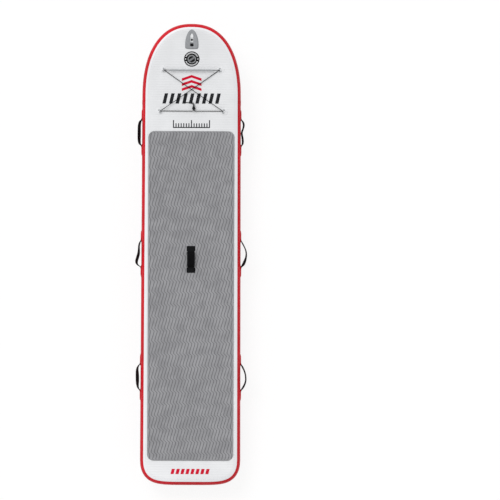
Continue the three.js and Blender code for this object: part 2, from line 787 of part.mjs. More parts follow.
const turnUnderOver = [
  [6.4, 30, 4.9],
  [3.3, 19.5, 4.9],
  [1.4, 12.4, 6.4],
  [0, 9, 11.6],
  [-1.4, 12.4, 16.8],
  [-3.3, 19.5, 18.3],
  [-6.4, 30, 18.3],
];
const mirrored = (points) => points.map(([x, y, z]) => [-x, y, z]);
const turnOverUnder = turnUnderOver.slice().reverse();
const cordRoute = [
  [lockFrame, [[-74, 32, 3.6], [-60, 38, 3.6], [-38, 38, 4.2], [-16, 33, 6.2], [-5, 26, 10.6]]],
  [lockFrame, [[-2.7, 20, 13.7], [-2.7, -20, 13.7], [-5, -26, 13], [-15, -28, 10.5], [-42, -27.5, 7]]],
  [ringFrames.rear_port, turnUnderOver],
  [crossFrame, [[0, 0, 9.2]]],
  [ringFrames.front_starboard, mirrored(turnUnderOver)],
  [ringFrames.front_port, turnOverUnder],
  [crossFrame, [[0, 0, 16]]],
  [ringFrames.rear_starboard, mirrored(turnOverUnder)],
  [lockFrame, [[42, -27.5, 7], [15, -28, 10.5], [5, -26, 13], [2.7, -20, 13.7], [2.7, 20, 13.7]]],
  [lockFrame, [[2.6, 26.5, 13.7], [-2, 34, 13.2], [-14, 38.5, 12.2], [-28, 36, 11.4]]],
];
const inBoard = (frame, point) => new THREE.Vector3(...point).applyMatrix4(frame.matrix);
const cordPath = soften(
  cordRoute.flatMap(([frame, points]) => points.map((point) => inBoard(frame, point))),
  1,
);
add(board, "bungee_cord", sweep(cordPath, circle(cordDiameter / 2, cordSides)), blackRubber);

// The pale sleeve on the cord's front run
const bungeeSleeveDiameter = 12;
const bungeeSleeveEnd = 26;
const bungeeSleeveBore = cordDiameter / 2 + seat * 2;
const frontRun = [
  [ringFrames.front_port, turnOverUnder[0]],
  [ringFrames.front_starboard, mirrored(turnUnderOver).at(-1)],
];
const runEnds = frontRun.map(([frame, point]) => inBoard(frame, point));
const bungeeSleeveLength = runEnds[1].x - runEnds[0].x - 2 * bungeeSleeveEnd;
const bungeeSleeve = turned(
  [
    [bungeeSleeveBore, -bungeeSleeveLength / 2],
    [bungeeSleeveDiameter / 2, -bungeeSleeveLength / 2],
    [bungeeSleeveDiameter / 2, bungeeSleeveLength / 2],
    [bungeeSleeveBore, bungeeSleeveLength / 2],
  ],
  12,
);
const bungeeSleeveMesh = add(board, "bungee_sleeve", bungeeSleeve.rotateY(Math.PI / 2), palePlastic);
bungeeSleeveMesh.position.copy(runEnds[0]).lerp(runEnds[1], 1 / 2);

// The cord lock stands on the deck: its button slides down into the body, and both ends of the cord pass
// through.

const lockLength = 30;
const lockWidth = 25;
const lockHeight = 22;
const lockNoseShare = 0.8;
const lockChamfer = 1.5;
const lockFloor = 1.5;
const lockButtonDiameter = 15;
const lockButtonClearance = 0.4;
const lockTravel = 4;
const lockSpringSpace = 7;
const lockSpringWire = 0.8;
const lockSpringDiameter = 9;
const lockSpringTurns = 3;
const cordHeightInLock = 13.7;
const lockCordSlot = 10.8;
const lockCordClearance = 0.3;
const lockHeadDiameter = 17;
const lockHeadThickness = 3.2;
const lockHeadEdge = 1;
const lockButtonPlace = -2;
const lockBase = 0.6;
const lockSides = 20;

const plainBullet = {
  tailLength: 5,
  noseFullness: 1.6,
  tailFullness: 2.2,
  tailSquareness: 4,
  noseSteps: 6,
  tailSteps: 3,
};

// A plate with a bullet's outline: its point towards +Y, its top edge chamfered.
function bullet({ length, width, noseShare, low, high, chamfer, form }) {
  const nose = length / 2;
  const shoulder = nose - length * noseShare;
  const corner = form.tailLength - length / 2;
  const half = halfOutline({
    ...form,
    nose,
    tail: -length / 2,
    width,
    shoulderWidth: width,
    noseLength: length * noseShare,
    sideStations: stretch(shoulder, corner, length),
  });
  const points = wholeOutline(half);
  const ring = (inset, z) =>
    points.map((p) => new THREE.Vector3(p.x + p.inX * inset, p.y + p.inY * inset, z));
  return body([ring(0, low), ring(0, high - chamfer), ring(chamfer, high)], { tipped: true });
}

const lockTop = lockBase + lockHeight;
const lockBoreRadius = lockButtonDiameter / 2 + lockButtonClearance;
const cordGripLow = cordHeightInLock - cordDiameter / 2 - lockCordClearance;
const cordGripHigh = cordHeightInLock + cordDiameter / 2 + lockCordClearance;
const lockBore = drum(lockBoreRadius, lockBase + lockFloor, lockTop + overrun, lockSides);
const slotThrough = (low, high) =>
  box([-lockCordSlot / 2, -lockLength, low], [lockCordSlot / 2, lockLength, high]);
const lockBody = bullet({
  length: lockLength,
  width: lockWidth,
  noseShare: lockNoseShare,
  low: lockBase,
  high: lockTop,
  chamfer: lockChamfer,
  form: plainBullet,
});
const lockSlot = slotThrough(cordGripLow, cordGripHigh);
const boredLock = cut(lockBody, lockBore.translate(0, lockButtonPlace, 0), lockSlot);
add(lockFrame, "cord_lock_body", boredLock, blackPlastic);

// At rest the cord is held between the foot of the button's window and the roof of the body's slot.
const lockButtonLow = lockBase + lockFloor + lockSpringSpace;
const lockHeadLow = lockTop + lockTravel + seat;
const lockHeadTop = lockHeadLow + lockHeadThickness;
const lockButton = turned(
  [
    [0, lockButtonLow],
    [lockButtonDiameter / 2, lockButtonLow],
    [lockButtonDiameter / 2, lockHeadLow],
    [lockHeadDiameter / 2, lockHeadLow],
    [lockHeadDiameter / 2, lockHeadTop - lockHeadEdge],
    [lockHeadDiameter / 2 - lockHeadEdge, lockHeadTop],
    [0, lockHeadTop],
  ],
  lockSides,
).translate(0, lockButtonPlace, 0);
const lockWindow = slotThrough(cordGripLow, cordGripHigh + lockTravel);
add(lockFrame, "cord_lock_button", cut(lockButton, lockWindow), blackPlastic);
const lockSpringLow = lockBase + lockFloor + seat + lockSpringWire / 2;
const lockSpringHigh = lockButtonLow - seat - lockSpringWire / 2;
const lockSpring = coil(
  lockSpringDiameter / 2,
  lockSpringWire,
  lockSpringTurns,
  lockSpringLow,
  lockSpringHigh,
);
add(lockFrame, "cord_lock_spring", lockSpring.translate(0, lockButtonPlace, 0), steel);

// The inflation valve: a patch on the deck, and a housing whose neck goes down through it into the core

const valvePatchDiameter = 118;
const valvePatchThickness = 1;
const valveFlangeDiameter = 70;
const valveFlangeLow = 1.6;
const valveFlangeHigh = 6.6;
const valveFlangeEdge = 1.2;
const valveRecessDiameter = 55;
const valveRecessLow = 3.2;
const valveNeckDiameter = 48;
const valveBoreDiameter = 38;
const valveNeckLow = -34.4;
const valveLipThickness = 3;
const valveLipDiameter = 32;
const valveArmWidth = 4;
const valveArmHeight = 4;
const valveHubDiameter = 13;
const valveHubHigh = -12;
const valveStemDiameter = 5;
const valveButtonDiameter = 14;
const valveButtonHigh = 0.2;
const valveButtonThickness = 3;
const valveSpringWire = 0.9;
const valveSpringDiameter = 9;
const valveSpringTurns = 3.5;
const valveSpringGap = 0.5;
const valveSealDiameter = 36;
const valveSealThickness = 2.5;
const valveCollarDiameter = 18;
const valveCollarThickness = 2;
const valveNutDiameter = 66;
const valveNutHigh = -1.9;
const valveNutThickness = 8;
const valveWellDiameter = 54;
const valveWellDepth = 48;
const valveNutClearance = 2;
const valveSides = 24;

const valveY = fromNose(valvePlace);
const valveFrame = fittingFrame(0, valveY);
const neckGap = valveNeckDiameter / 2 + seat * 2;
const washer = (inner, outer, low, high, sides = valveSides) =>
  turned([[inner, low], [outer, low], [outer, high], [inner, high]], sides);

const valvePatch = washer(neckGap, valvePatchDiameter / 2, -sinking, seat + valvePatchThickness);
addSeated(valveFrame, "valve_patch", valvePatch, blackRubber);

const valveHousing = turned(
  [
    [valveFlangeDiameter / 2, valveFlangeLow],
    [valveFlangeDiameter / 2, valveFlangeHigh - valveFlangeEdge],
    [valveFlangeDiameter / 2 - valveFlangeEdge, valveFlangeHigh],
    [valveRecessDiameter / 2, valveFlangeHigh],
    [valveRecessDiameter / 2, valveRecessLow],
    [valveBoreDiameter / 2, valveRecessLow],
    [valveBoreDiameter / 2, valveNeckLow + valveLipThickness],
    [valveLipDiameter / 2, valveNeckLow + valveLipThickness],
    [valveLipDiameter / 2, valveNeckLow],
    [valveNeckDiameter / 2, valveNeckLow],
    [valveNeckDiameter / 2, valveFlangeLow],
  ],
  valveSides,
);
const armReach = (valveBoreDiameter + valveNeckDiameter) / 4;
const valveArm = box(
  [-armReach, -valveArmWidth / 2, valveHubHigh - valveArmHeight],
  [armReach, valveArmWidth / 2, valveHubHigh],
);
const valveHub = drum(valveHubDiameter / 2, valveHubHigh - valveArmHeight, valveHubHigh, lockSides);
const stemHole = drum(valveStemDiameter / 2 + seat, valveNeckLow, valveFlangeHigh, lockSides);
const spider = join(valveArm, valveArm.clone().rotateZ(Math.PI / 2), valveHub);
add(valveFrame, "valve_housing", cut(join(valveHousing, spider), stemHole), blackPlastic);

const nutLow = valveNutHigh - valveNutThickness;
const nut = washer(neckGap, valveNutDiameter / 2, nutLow, valveNutHigh, valveSides);
add(valveFrame, "valve_inner_nut", nut, blackPlastic);

const valveSealHigh = valveNeckLow - seat;
const valveSealLow = valveSealHigh - valveSealThickness;
const collarHigh = valveSealLow - seat;
const buttonLow = valveButtonHigh - valveButtonThickness;
const valvePlunger = turned(
  [
    [0, collarHigh - valveCollarThickness],
    [valveCollarDiameter / 2, collarHigh - valveCollarThickness],
    [valveCollarDiameter / 2, collarHigh],
    [valveStemDiameter / 2, collarHigh],
    [valveStemDiameter / 2, buttonLow],
    [valveButtonDiameter / 2, buttonLow],
    [valveButtonDiameter / 2, valveButtonHigh],
    [0, valveButtonHigh],
  ],
  lockSides,
);
add(valveFrame, "valve_plunger", valvePlunger, greyPlastic);
const sealBore = valveStemDiameter / 2 + seat;
const valveSeal = washer(sealBore, valveSealDiameter / 2, valveSealLow, valveSealHigh, lockSides);
add(valveFrame, "valve_seal", valveSeal, blackRubber);
const valveSpring = coil(
  valveSpringDiameter / 2,
  valveSpringWire,
  valveSpringTurns,
  valveHubHigh + valveSpringGap + valveSpringWire / 2,
  buttonLow - valveSpringGap - valveSpringWire / 2,
);
add(valveFrame, "valve_spring", valveSpring, steel);

// The valve's cap, with a bar to turn it by, and the gasket under its rim
const capDiameter = 53.2;
const capLow = 5.3;
const capThickness = 5;
const capEdge = 1.6;
const capSkirtDiameter = 37;
const capSkirtThickness = 2;
const capBar = [42, 8, 4];
const capBarTurn = 35;
const gasketInner = 41;
const gasketOuter = 52;
const gasketLow = 3.5;
const gasketThickness = 1.5;
const capTop = capLow + capThickness;
const capDisc = turned(
  [
    [0, capLow],
    [capSkirtDiameter / 2 - capSkirtThickness, capLow],
    [capSkirtDiameter / 2 - capSkirtThickness, 0],
    [capSkirtDiameter / 2, 0],
    [capSkirtDiameter / 2, capLow],
    [capDiameter / 2, capLow],
    [capDiameter / 2, capTop - capEdge],
    [capDiameter / 2 - capEdge, capTop],
    [0, capTop],
  ],
  valveSides,
);
const bar = raised(stadium(capBar[0], capBar[1]), capTop - capEdge, capTop + capBar[2]);
add(valveFrame, "valve_cap", join(capDisc, bar.rotateZ(degToRad(capBarTurn - 90))), greyPlastic);
const gasket = washer(gasketInner / 2, gasketOuter / 2, gasketLow, gasketLow + gasketThickness);
add(valveFrame, "valve_cap_gasket", gasket, blackRubber);

// The core's well takes the valve's neck and nut, and the deck's skin is cut for the neck.
const well = [
  drum(valveWellDiameter / 2, -valveWellDepth, overrun, valveSides),
  drum(valveNutDiameter / 2 + valveNutClearance, nutLow - valveNutClearance, overrun, valveSides),
].map((piece) => piece.applyMatrix4(valveFrame.matrix));
add(board, "drop_stitch_core", cut(coreBlock, ...well), weave);
const skinHole = drum(neckGap, -overrun, overrun, valveSides).applyMatrix4(valveFrame.matrix);
add(board, "deck_skin", cut(deckSheet, skinHole), whitePvc);

// The accessory mount at the nose: a bullet-shaped base, seated on the hull, with a channel, a pocket and a hole

const mountLength = 152;
const mountWidth = 102;
const mountHeight = 9;
const mountRim = 2;
const mountRimWidth = 5;
const mountChamfer = 2;
const mountChannelWidth = 26;
const mountChannelStart = 26;
const mountChannelEnd = 99;
const mountChannelDepth = 3;
const mountChannelNoseShare = 0.3;
const mountHolePlace = 79;
const mountHoleDiameter = 12;
const mountPocketStart = 106;
const mountPocketEnd = 130;
const mountPocketDepth = 6.5;
const mountPocketCorner = 5;
const mountForm = {
  tailLength: 14,
  noseFullness: 1.85,
  tailFullness: 2.2,
  tailSquareness: 5,
  noseSteps: 8,
  tailSteps: 4,
};

const mountY = fromNose(mountPlace + mountLength / 2);
const mountFrame = fittingFrame(0, mountY);
const mountSinking = 12;
const mountNoseShare = 0.76;
const mountPlate = bullet({
  length: mountLength,
  width: mountWidth,
  noseShare: mountNoseShare,
  low: -mountSinking,
  high: mountRim,
  chamfer: mountRim / 2,
  form: mountForm,
});
const mountBlock = bullet({
  length: mountLength - 2 * mountRimWidth,
  width: mountWidth - 2 * mountRimWidth,
  noseShare: mountNoseShare,
  low: -mountSinking,
  high: mountHeight,
  chamfer: mountChamfer,
  form: mountForm,
});
const behindTip = (place) => mountLength / 2 - place;
const mountChannel = bullet({
  length: mountChannelEnd - mountChannelStart,
  width: mountChannelWidth,
  noseShare: mountChannelNoseShare,
  low: mountHeight - mountChannelDepth,
  high: mountHeight + overrun,
  chamfer: mountChamfer,
  form: plainBullet,
});
const mountPocket = raised(
  roundedPlate(mountChannelWidth, mountPocketEnd - mountPocketStart, mountPocketCorner),
  mountHeight - mountPocketDepth,
  mountHeight + overrun,
);
const mountHole = drum(mountHoleDiameter / 2, mountRim, mountHeight + overrun, lockSides);
const mountCuts = [
  mountChannel.translate(0, behindTip((mountChannelStart + mountChannelEnd) / 2), 0),
  mountPocket.translate(0, behindTip((mountPocketStart + mountPocketEnd) / 2), 0),
  mountHole.translate(0, behindTip(mountHolePlace), 0),
];
addSeated(mountFrame, "camera_mount", cut(join(mountPlate, mountBlock), ...mountCuts), greyPlastic);

// The fins: a base welded under the hull, with a pocket that holds the root of the blade

const finBaseLength = 250;
const finBaseWidth = 66;
const finBaseThickness = 3;
const finBossLength = 196;
const finBossWidth = 26;
const finBossHeight = 8;
const finPocketDepth = 7.4;
const finRootLength = 170;
const finRootThickness = 8;
const finRootFillet = 1;

// Stations of the blade, from its root to its tip: shares of the depth left under the boss, of half the
// root's length for the leading and the trailing edge, and of the root's thickness
const finDownShares = [0, 0.3, 0.6, 0.85, 1];
const finLeadShares = [1, 0.54, 0.02, -0.54, -1];
const finTrailShares = [-1, -0.9, -0.98, -1.2, -1.38];
const finThicknessShares = [1, 0.88, 0.75, 0.62, 0.45];
const foilSteps = 6;

function foilRing(station, z, grow = 0) {
  const lead = (finLeadShares[station] * finRootLength) / 2 + grow;
  const trail = (finTrailShares[station] * finRootLength) / 2 - grow;
  const thickness = finThicknessShares[station] * finRootThickness + 2 * grow;
  return Array.from({ length: 2 * foilSteps }, (_, i) => {
    const turn = (i / foilSteps) * Math.PI;
    const y = (lead + trail) / 2 + ((lead - trail) / 2) * Math.cos(turn);
    return new THREE.Vector3((thickness / 2) * Math.sin(turn), y, z);
  });
}

const finBaseTop = -seat;
const finBaseLow = finBaseTop - finBaseThickness;
const finBossLow = finBaseLow - finBossHeight;
const finTip = -finDepth;
const finBase = cut(
  join(
    raised(stadium(finBaseLength, finBaseWidth), finBaseLow, finBaseTop),
    raised(stadium(finBossLength, finBossWidth), finBossLow, finBaseLow + finRootFillet),
  ),
  body([foilRing(0, finBossLow - overrun, seat), foilRing(0, finBossLow + finPocketDepth, seat)], {
    tipped: true,
  }),
);
const finBlade = body(
  [
    foilRing(0, finBossLow + finPocketDepth - seat),
    ...finDownShares.map((share, station) => foilRing(station, lerp(finBossLow, finTip, share))),
  ],
  { tipped: true },
);
for (const [name, side] of [["port", -1], ["starboard", 1]]) {
  const place = [(side * finSpread) / 2, fromTail(finPlace), -halfThickness];
  add(board, `fin_base_${name}`, finBase, blackRubber).position.set(...place);
  add(board, `fin_blade_${name}`, finBlade, blackRubber).position.set(...place);
}

// The tow ring under the nose, lying back along the hull

const towRing = { span: 34, depth: 32, cornerShare: 1 / 3, wire: 5, bowSteps: 10, sides: 8 };
const towPatch = {
  radius: 38,
  thickness: 1.2,
  barHeight: 5.6,
  wire: towRing.wire,
  saddleLength: 18,
  saddleWall: 2.4,
  sides: 28,
};
const towRingTilt = 4;
const towFrame = fittingFrame(0, fromNose(towRingPlace), { side: -1 });
addSeated(towFrame, "tow_patch", saddlePatch(towPatch), whitePvc);
const towWire = add(towFrame, "tow_ring", ringWire(towRing).rotateZ(Math.PI), steel);
towWire.position.z = towPatch.barHeight;
towWire.rotation.x = -degToRad(towRingTilt);

export default rescueBoard;
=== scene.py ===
# Rescue board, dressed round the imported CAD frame, in metres: +X is starboard, +Y the nose, +Z up
import math

import bmesh
import bpy
from mathutils import Matrix, Vector


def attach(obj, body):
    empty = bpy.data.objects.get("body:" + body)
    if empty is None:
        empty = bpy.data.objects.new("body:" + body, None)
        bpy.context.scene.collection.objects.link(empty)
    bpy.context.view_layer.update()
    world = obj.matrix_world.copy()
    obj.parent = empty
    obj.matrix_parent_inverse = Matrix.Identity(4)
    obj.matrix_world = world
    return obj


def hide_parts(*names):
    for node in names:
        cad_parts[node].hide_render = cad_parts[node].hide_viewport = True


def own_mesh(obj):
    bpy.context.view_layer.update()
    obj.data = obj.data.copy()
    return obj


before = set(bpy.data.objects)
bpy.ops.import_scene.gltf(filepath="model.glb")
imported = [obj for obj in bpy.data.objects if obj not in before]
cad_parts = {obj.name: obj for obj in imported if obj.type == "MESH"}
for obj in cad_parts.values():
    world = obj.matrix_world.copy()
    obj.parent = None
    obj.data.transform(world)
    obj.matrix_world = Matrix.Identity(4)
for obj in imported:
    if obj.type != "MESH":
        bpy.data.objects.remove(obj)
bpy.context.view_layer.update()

MM = 0.001

# The photograph's frame: 500 pixels square, with the deck seen straight on at 7.6 mm a pixel
FRAME_PIXELS = 500
PIXEL = 7.6 * MM
BOARD_PIXEL_X = 190.95
BOARD_PIXEL_Y = 254.45
BOARD_LEAN = math.radians(0.24)
CAMERA_HEIGHT = 5.0

# The board's form
LENGTH = 3505 * MM
WIDTH = 762 * MM
SHOULDER_WIDTH = 748 * MM
THICKNESS = 152 * MM
NOSE_LENGTH = 560 * MM
TAIL_LENGTH = 190 * MM
RAIL_DEPTH = 60 * MM
NOSE_ROCKER_LENGTH = 1250 * MM
NOSE_ROCKER = 130 * MM
TAIL_ROCKER_LENGTH = 230 * MM
TAIL_ROCKER = 15 * MM
FIN_DEPTH = 90 * MM
SKIN = 1.2 * MM
TAPE = 0.9 * MM
SEAT = 0.3 * MM
NOSE_FULLNESS = 2.3
TAIL_FULLNESS = 2.2
TAIL_SQUARENESS = 5
RAIL_FULLNESS = 2.4
SKIN_EDGE = 65
TAPE_EDGES = (58, 76)

SIDES = (("port", -1), ("starboard", 1))

MIDDLE = FIN_DEPTH + THICKNESS / 2
NOSE_Y = LENGTH / 2
TAIL_Y = -LENGTH / 2
SHOULDER_Y = NOSE_Y - NOSE_LENGTH
CORNER_Y = TAIL_Y + TAIL_LENGTH
FRONT_SEAM_Y = NOSE_Y - 600 * MM
REAR_SEAM_Y = TAIL_Y + 965 * MM


# Camera: straight down on the deck, nose up
def add_camera():
    camera = bpy.data.objects.new("camera", bpy.data.cameras.new("camera"))
    camera.data.type = "ORTHO"
    camera.data.ortho_scale = FRAME_PIXELS * PIXEL
    across = (FRAME_PIXELS / 2 - BOARD_PIXEL_X) * PIXEL
    along = (BOARD_PIXEL_Y - FRAME_PIXELS / 2) * PIXEL
    turned = Matrix.Rotation(BOARD_LEAN, 4, "Z")
    camera.location = turned @ Vector((across, along, CAMERA_HEIGHT))
    camera.rotation_euler = (0, 0, BOARD_LEAN)
    bpy.context.scene.collection.objects.link(camera)
    bpy.context.scene.camera = camera


add_camera()


# Lines and frames
def lerp(a, b, share):
    return a + (b - a) * share


def stretch(start, end, step):
    """Splits a stretch into equal steps no longer than step, and leaves out its far end."""
    count = max(1, math.ceil(abs(end - start) / step))
    return [lerp(start, end, i / count) for i in range(count)]


def spread(start, end, steps):
    """Splits a stretch into equal steps, and keeps both ends."""
    return [lerp(start, end, i / steps) for i in range(steps + 1)]


def soften(points, times=3):
    """Cuts the corners off an open line again and again, so that it bends smoothly."""
    for _ in range(times):
        softer = [points[0]]
        for a, b in zip(points, points[1:]):
            softer += [lerp(a, b, 0.25), lerp(a, b, 0.75)]
        points = softer + [points[-1]]
    return points


def circle(radius, sides):
    turns = [2 * math.pi * i / sides for i in range(sides)]
    return [(radius * math.cos(t), radius * math.sin(t)) for t in turns]


def rounded_section(width, height, corner, steps=3):
    """A flat section with rounded edges, as points across and up."""
    points = []
    quarters = ((1, -1, -90), (1, 1, 0), (-1, 1, 90), (-1, -1, 180))
    for across, up, start in quarters:
        for i in range(steps + 1):
            turn = math.radians(start + 90 * i / steps)
            x = across * (width / 2 - corner) + corner * math.cos(turn)
            points.append((x, up * (height / 2 - corner) + corner * math.sin(turn)))
    return points


def rocker_shares(y):
    """How far a station lies into the nose's and the tail's lift, from 0 to 1."""
    nose = max(0, y - NOSE_Y + NOSE_ROCKER_LENGTH) / NOSE_ROCKER_LENGTH
    tail = max(0, TAIL_Y + TAIL_ROCKER_LENGTH - y) / TAIL_ROCKER_LENGTH
    return nose, tail


def rocker_at(y):
    nose, tail = rocker_shares(y)
    return NOSE_ROCKER * nose**2 + TAIL_ROCKER * tail**2


def slope_at(y):
    nose, tail = rocker_shares(y)
    rise = 2 * NOSE_ROCKER * nose / NOSE_ROCKER_LENGTH
    return math.atan(rise - 2 * TAIL_ROCKER * tail / TAIL_ROCKER_LENGTH)


def deck_height(y):
    return MIDDLE + rocker_at(y) + THICKNESS / 2


def fitting_frame(x, y, turn=0.0, side=1):
    """A frame on the flat of the deck or hull: +Z out of it, +Y towards the nose before it is turned."""
    place = Matrix.Translation((x, y, MIDDLE + rocker_at(y) + side * THICKNESS / 2))
    over = Matrix.Rotation(0 if side > 0 else math.pi, 4, "Y")
    return place @ Matrix.Rotation(slope_at(y), 4, "X") @ over @ Matrix.Rotation(turn, 4, "Z")


# The bungee cord comes first, with its rings and its lock
FRONT_RING_Y = NOSE_Y - 347 * MM
REAR_RING_Y = NOSE_Y - 667 * MM
FRONT_RING_X = 221 * MM
REAR_RING_X = 248 * MM
CROSS_Y = lerp(REAR_RING_Y, FRONT_RING_Y, REAR_RING_X / (REAR_RING_X + FRONT_RING_X))
LOCK_PLACE = Vector((17 * MM, REAR_RING_Y + 32 * MM))
RING_BAR_HEIGHT = 4.8 * MM
RING_TILT = math.radians(20)
CORD_DIAMETER = 5 * MM

RING_PLACES = {
    "front_port": Vector((-FRONT_RING_X, FRONT_RING_Y)),
    "front_starboard": Vector((FRONT_RING_X, FRONT_RING_Y)),
    "rear_port": Vector((-REAR_RING_X, REAR_RING_Y)),
    "rear_starboard": Vector((REAR_RING_X, REAR_RING_Y)),
}
RING_PULLS = {
    "front_port": (RING_PLACES["front_starboard"], RING_PLACES["rear_starboard"]),
    "front_starboard": (RING_PLACES["front_port"], RING_PLACES["rear_port"]),
    "rear_port": (LOCK_PLACE, RING_PLACES["front_starboard"]),
    "rear_starboard": (LOCK_PLACE, RING_PLACES["front_port"]),
}


def ring_frame(name):
    """Each ring points along the middle of its two strands."""
    place = RING_PLACES[name]
    pull = sum(((end - place).normalized() for end in RING_PULLS[name]), Vector((0, 0)))
    return fitting_frame(*place, turn=math.atan2(pull.y, pull.x) - math.pi / 2)


RING_FRAMES = {name: ring_frame(name) for name in RING_PLACES}
CROSS_FRAME = fitting_frame(0, CROSS_Y)
LOCK_FRAME = fitting_frame(*LOCK_PLACE)

TURN_UNDER_OVER = [
    (6.4, 30, 4.9),
    (3.3, 19.5, 4.9),
    (1.4, 12.4, 6.4),
    (0, 9, 11.6),
    (-1.4, 12.4, 16.8),
    (-3.3, 19.5, 18.3),
    (-6.4, 30, 18.3),
]
TURN_OVER_UNDER = TURN_UNDER_OVER[::-1]


def mirrored(points):
    return [(-x, y, z) for x, y, z in points]


CORD_ROUTE = [
    (LOCK_FRAME, [(-74, 32, 3.6), (-60, 38, 3.6), (-38, 38, 4.2), (-16, 33, 6.2), (-5, 26, 10.6)]),
    (LOCK_FRAME, [(-2.7, 20, 13.7), (-2.7, -20, 13.7), (-5, -26, 13), (-15, -28, 10.5), (-42, -27.5, 7)]),
    (RING_FRAMES["rear_port"], TURN_UNDER_OVER),
    (CROSS_FRAME, [(0, 0, 9.2)]),
    (RING_FRAMES["front_starboard"], mirrored(TURN_UNDER_OVER)),
    (RING_FRAMES["front_port"], TURN_OVER_UNDER),
    (CROSS_FRAME, [(0, 0, 16)]),
    (RING_FRAMES["rear_starboard"], mirrored(TURN_OVER_UNDER)),
    (LOCK_FRAME, [(42, -27.5, 7), (15, -28, 10.5), (5, -26, 13), (2.7, -20, 13.7), (2.7, 20, 13.7)]),
    (LOCK_FRAME, [(2.6, 26.5, 13.7), (-2, 34, 13.2), (-14, 38.5, 12.2), (-28, 36, 11.4)]),
]
CORD_POINTS = [where @ (Vector(point) * MM) for where, points in CORD_ROUTE for point in points]


# Mesh tools
SHARP = math.radians(38)
MERGE_DISTANCE = 0.02 * MM
BORE_DEPTH = 40 * MM
CORNER_STEPS = 6
ROUND_SIDES = 64


def finish(mesh, name):
    """Makes a bmesh into an object, smooth but for its sharp edges."""
    for edge in mesh.edges:
        edge.smooth = len(edge.link_faces) == 2 and edge.calc_face_angle(0) < SHARP
    for face in mesh.faces:
        face.smooth = True
    data = bpy.data.meshes.new(name)
    mesh.to_mesh(data)
    mesh.free()
    piece = bpy.data.objects.new(name, data)
    bpy.context.scene.collection.objects.link(piece)
    return piece


def bend_grid(mesh, columns, rows, place, uv=None):
    """Adds a grid whose point in each column and row lies where place says, with its own UV in metres."""
    layer = mesh.loops.layers.uv.verify() if uv else None
    made = bmesh.ops.create_grid(mesh, x_segments=columns - 1, y_segments=rows - 1, size=1)
    spots = {}
    for vert in made["verts"]:
        column = round((vert.co.x + 1) / 2 * (columns - 1))
        row = round((vert.co.y + 1) / 2 * (rows - 1))
        spots[vert] = (column, row)
    if uv:
        for face in {face for vert in made["verts"] for face in vert.link_faces}:
            for loop in face.loops:
                loop[layer].uv = uv(*spots[loop.vert])
    for vert, spot in spots.items():
        vert.co = place(*spot)
    return spots


def faces_up(face):
    return face.normal.z * face.calc_area()


def faces_down(face):
    return -faces_up(face)


def faces_out(face):
    """How far a face on the rail looks away from the board's middle line."""
    centre = face.calc_center_median()
    return face.normal.dot(Vector((centre.x, centre.y * 0.2, 0)))


def closed_piece(mesh, name, caps=False, looks_out=None, wall=0):
    """Merges points that meet, closes open ends if asked to, turns the faces outwards and makes the piece.
    An open sheet is turned by looks_out, and gets a wall inwards from its face."""
    bmesh.ops.remove_doubles(mesh, verts=mesh.verts, dist=MERGE_DISTANCE)
    if caps:
        ends = [edge for edge in mesh.edges if edge.is_boundary]
        bmesh.ops.holes_fill(mesh, edges=ends, sides=0)
    bmesh.ops.recalc_face_normals(mesh, faces=mesh.faces)
    if looks_out and sum(looks_out(face) for face in mesh.faces) < 0:
        bmesh.ops.reverse_faces(mesh, faces=mesh.faces)
    piece = finish(mesh, name)
    if wall:
        solid = piece.modifiers.new("wall", "SOLIDIFY")
        solid.thickness = wall
        solid.offset = -1
    return piece


def grid_piece(name, columns, rows, place, uv=None, **closing):
    mesh = bmesh.new()
    bend_grid(mesh, columns, rows, place, uv)
    return closed_piece(mesh, name, **closing)


def sweep_rings(path, section, lifts=None, closed=False, sizes=None):
    """The section's points carried along a path: each is a distance to its side and one up from it."""
    lift = Vector((0, 0, 1))
    rings = []
    for i, point in enumerate(path):
        before = path[i - 1] if closed or i else path[0]
        after = path[(i + 1) % len(path)] if closed or i < len(path) - 1 else path[-1]
        along = (after - before).normalized()
        lift = lifts[i].copy() if lifts else lift
        lift = (lift - along * lift.dot(along)).normalized()
        side = along.cross(lift)
        size = sizes[i] if sizes else 1
        rings.append([point + side * (s * size) + lift * (u * size) for s, u in section])
    return rings


def distances(points):
    """How far along a line each of its points lies."""
    far = [0.0]
    for a, b in zip(points, points[1:]):
        far.append(far[-1] + (b - a).length)
    return far


def swept_piece(name, path, section, caps=True, wall=0, **how):
    """A body swept along a path. Its UV runs along it and round it, in metres."""
    rings = sweep_rings(path, section, **how)
    along = distances(path + path[:1] if how.get("closed") else path)
    around = distances([Vector(spot) for spot in [*section, section[0]]])
    return grid_piece(
        name,
        len(around),
        len(along),
        lambda column, row: rings[row % len(rings)][column % len(section)],
        lambda column, row: (along[row], around[column]),
        caps=caps,
        wall=wall,
    )


def turned_piece(name, profile, matrix, sides):
    """A turned piece, from a closed profile of radius and height round the matrix's own Z."""
    mesh = bmesh.new()
    verts = [mesh.verts.new((radius, 0, height)) for radius, height in profile]
    edges = [mesh.edges.new(pair) for pair in zip(verts, verts[1:])]
    if profile[0][0] > 0:
        edges.append(mesh.edges.new((verts[-1], verts[0])))
    bmesh.ops.spin(
        mesh,
        geom=verts + edges,
        cent=(0, 0, 0),
        axis=(0, 0, 1),
        angle=2 * math.pi,
        steps=sides,
        use_merge=True,
    )
    bmesh.ops.transform(mesh, matrix=matrix, verts=mesh.verts)
    return closed_piece(mesh, name)


def bevel(mesh, edges, offset, segments=2, clamp=False):
    """Rounds edges off, and returns what this makes."""
    return bmesh.ops.bevel(
        mesh,
        geom=edges,
        offset=offset,
        offset_type="OFFSET",
        affect="EDGES",
        segments=segments,
        profile=0.5,
        material=-1,
        clamp_overlap=clamp,
    )


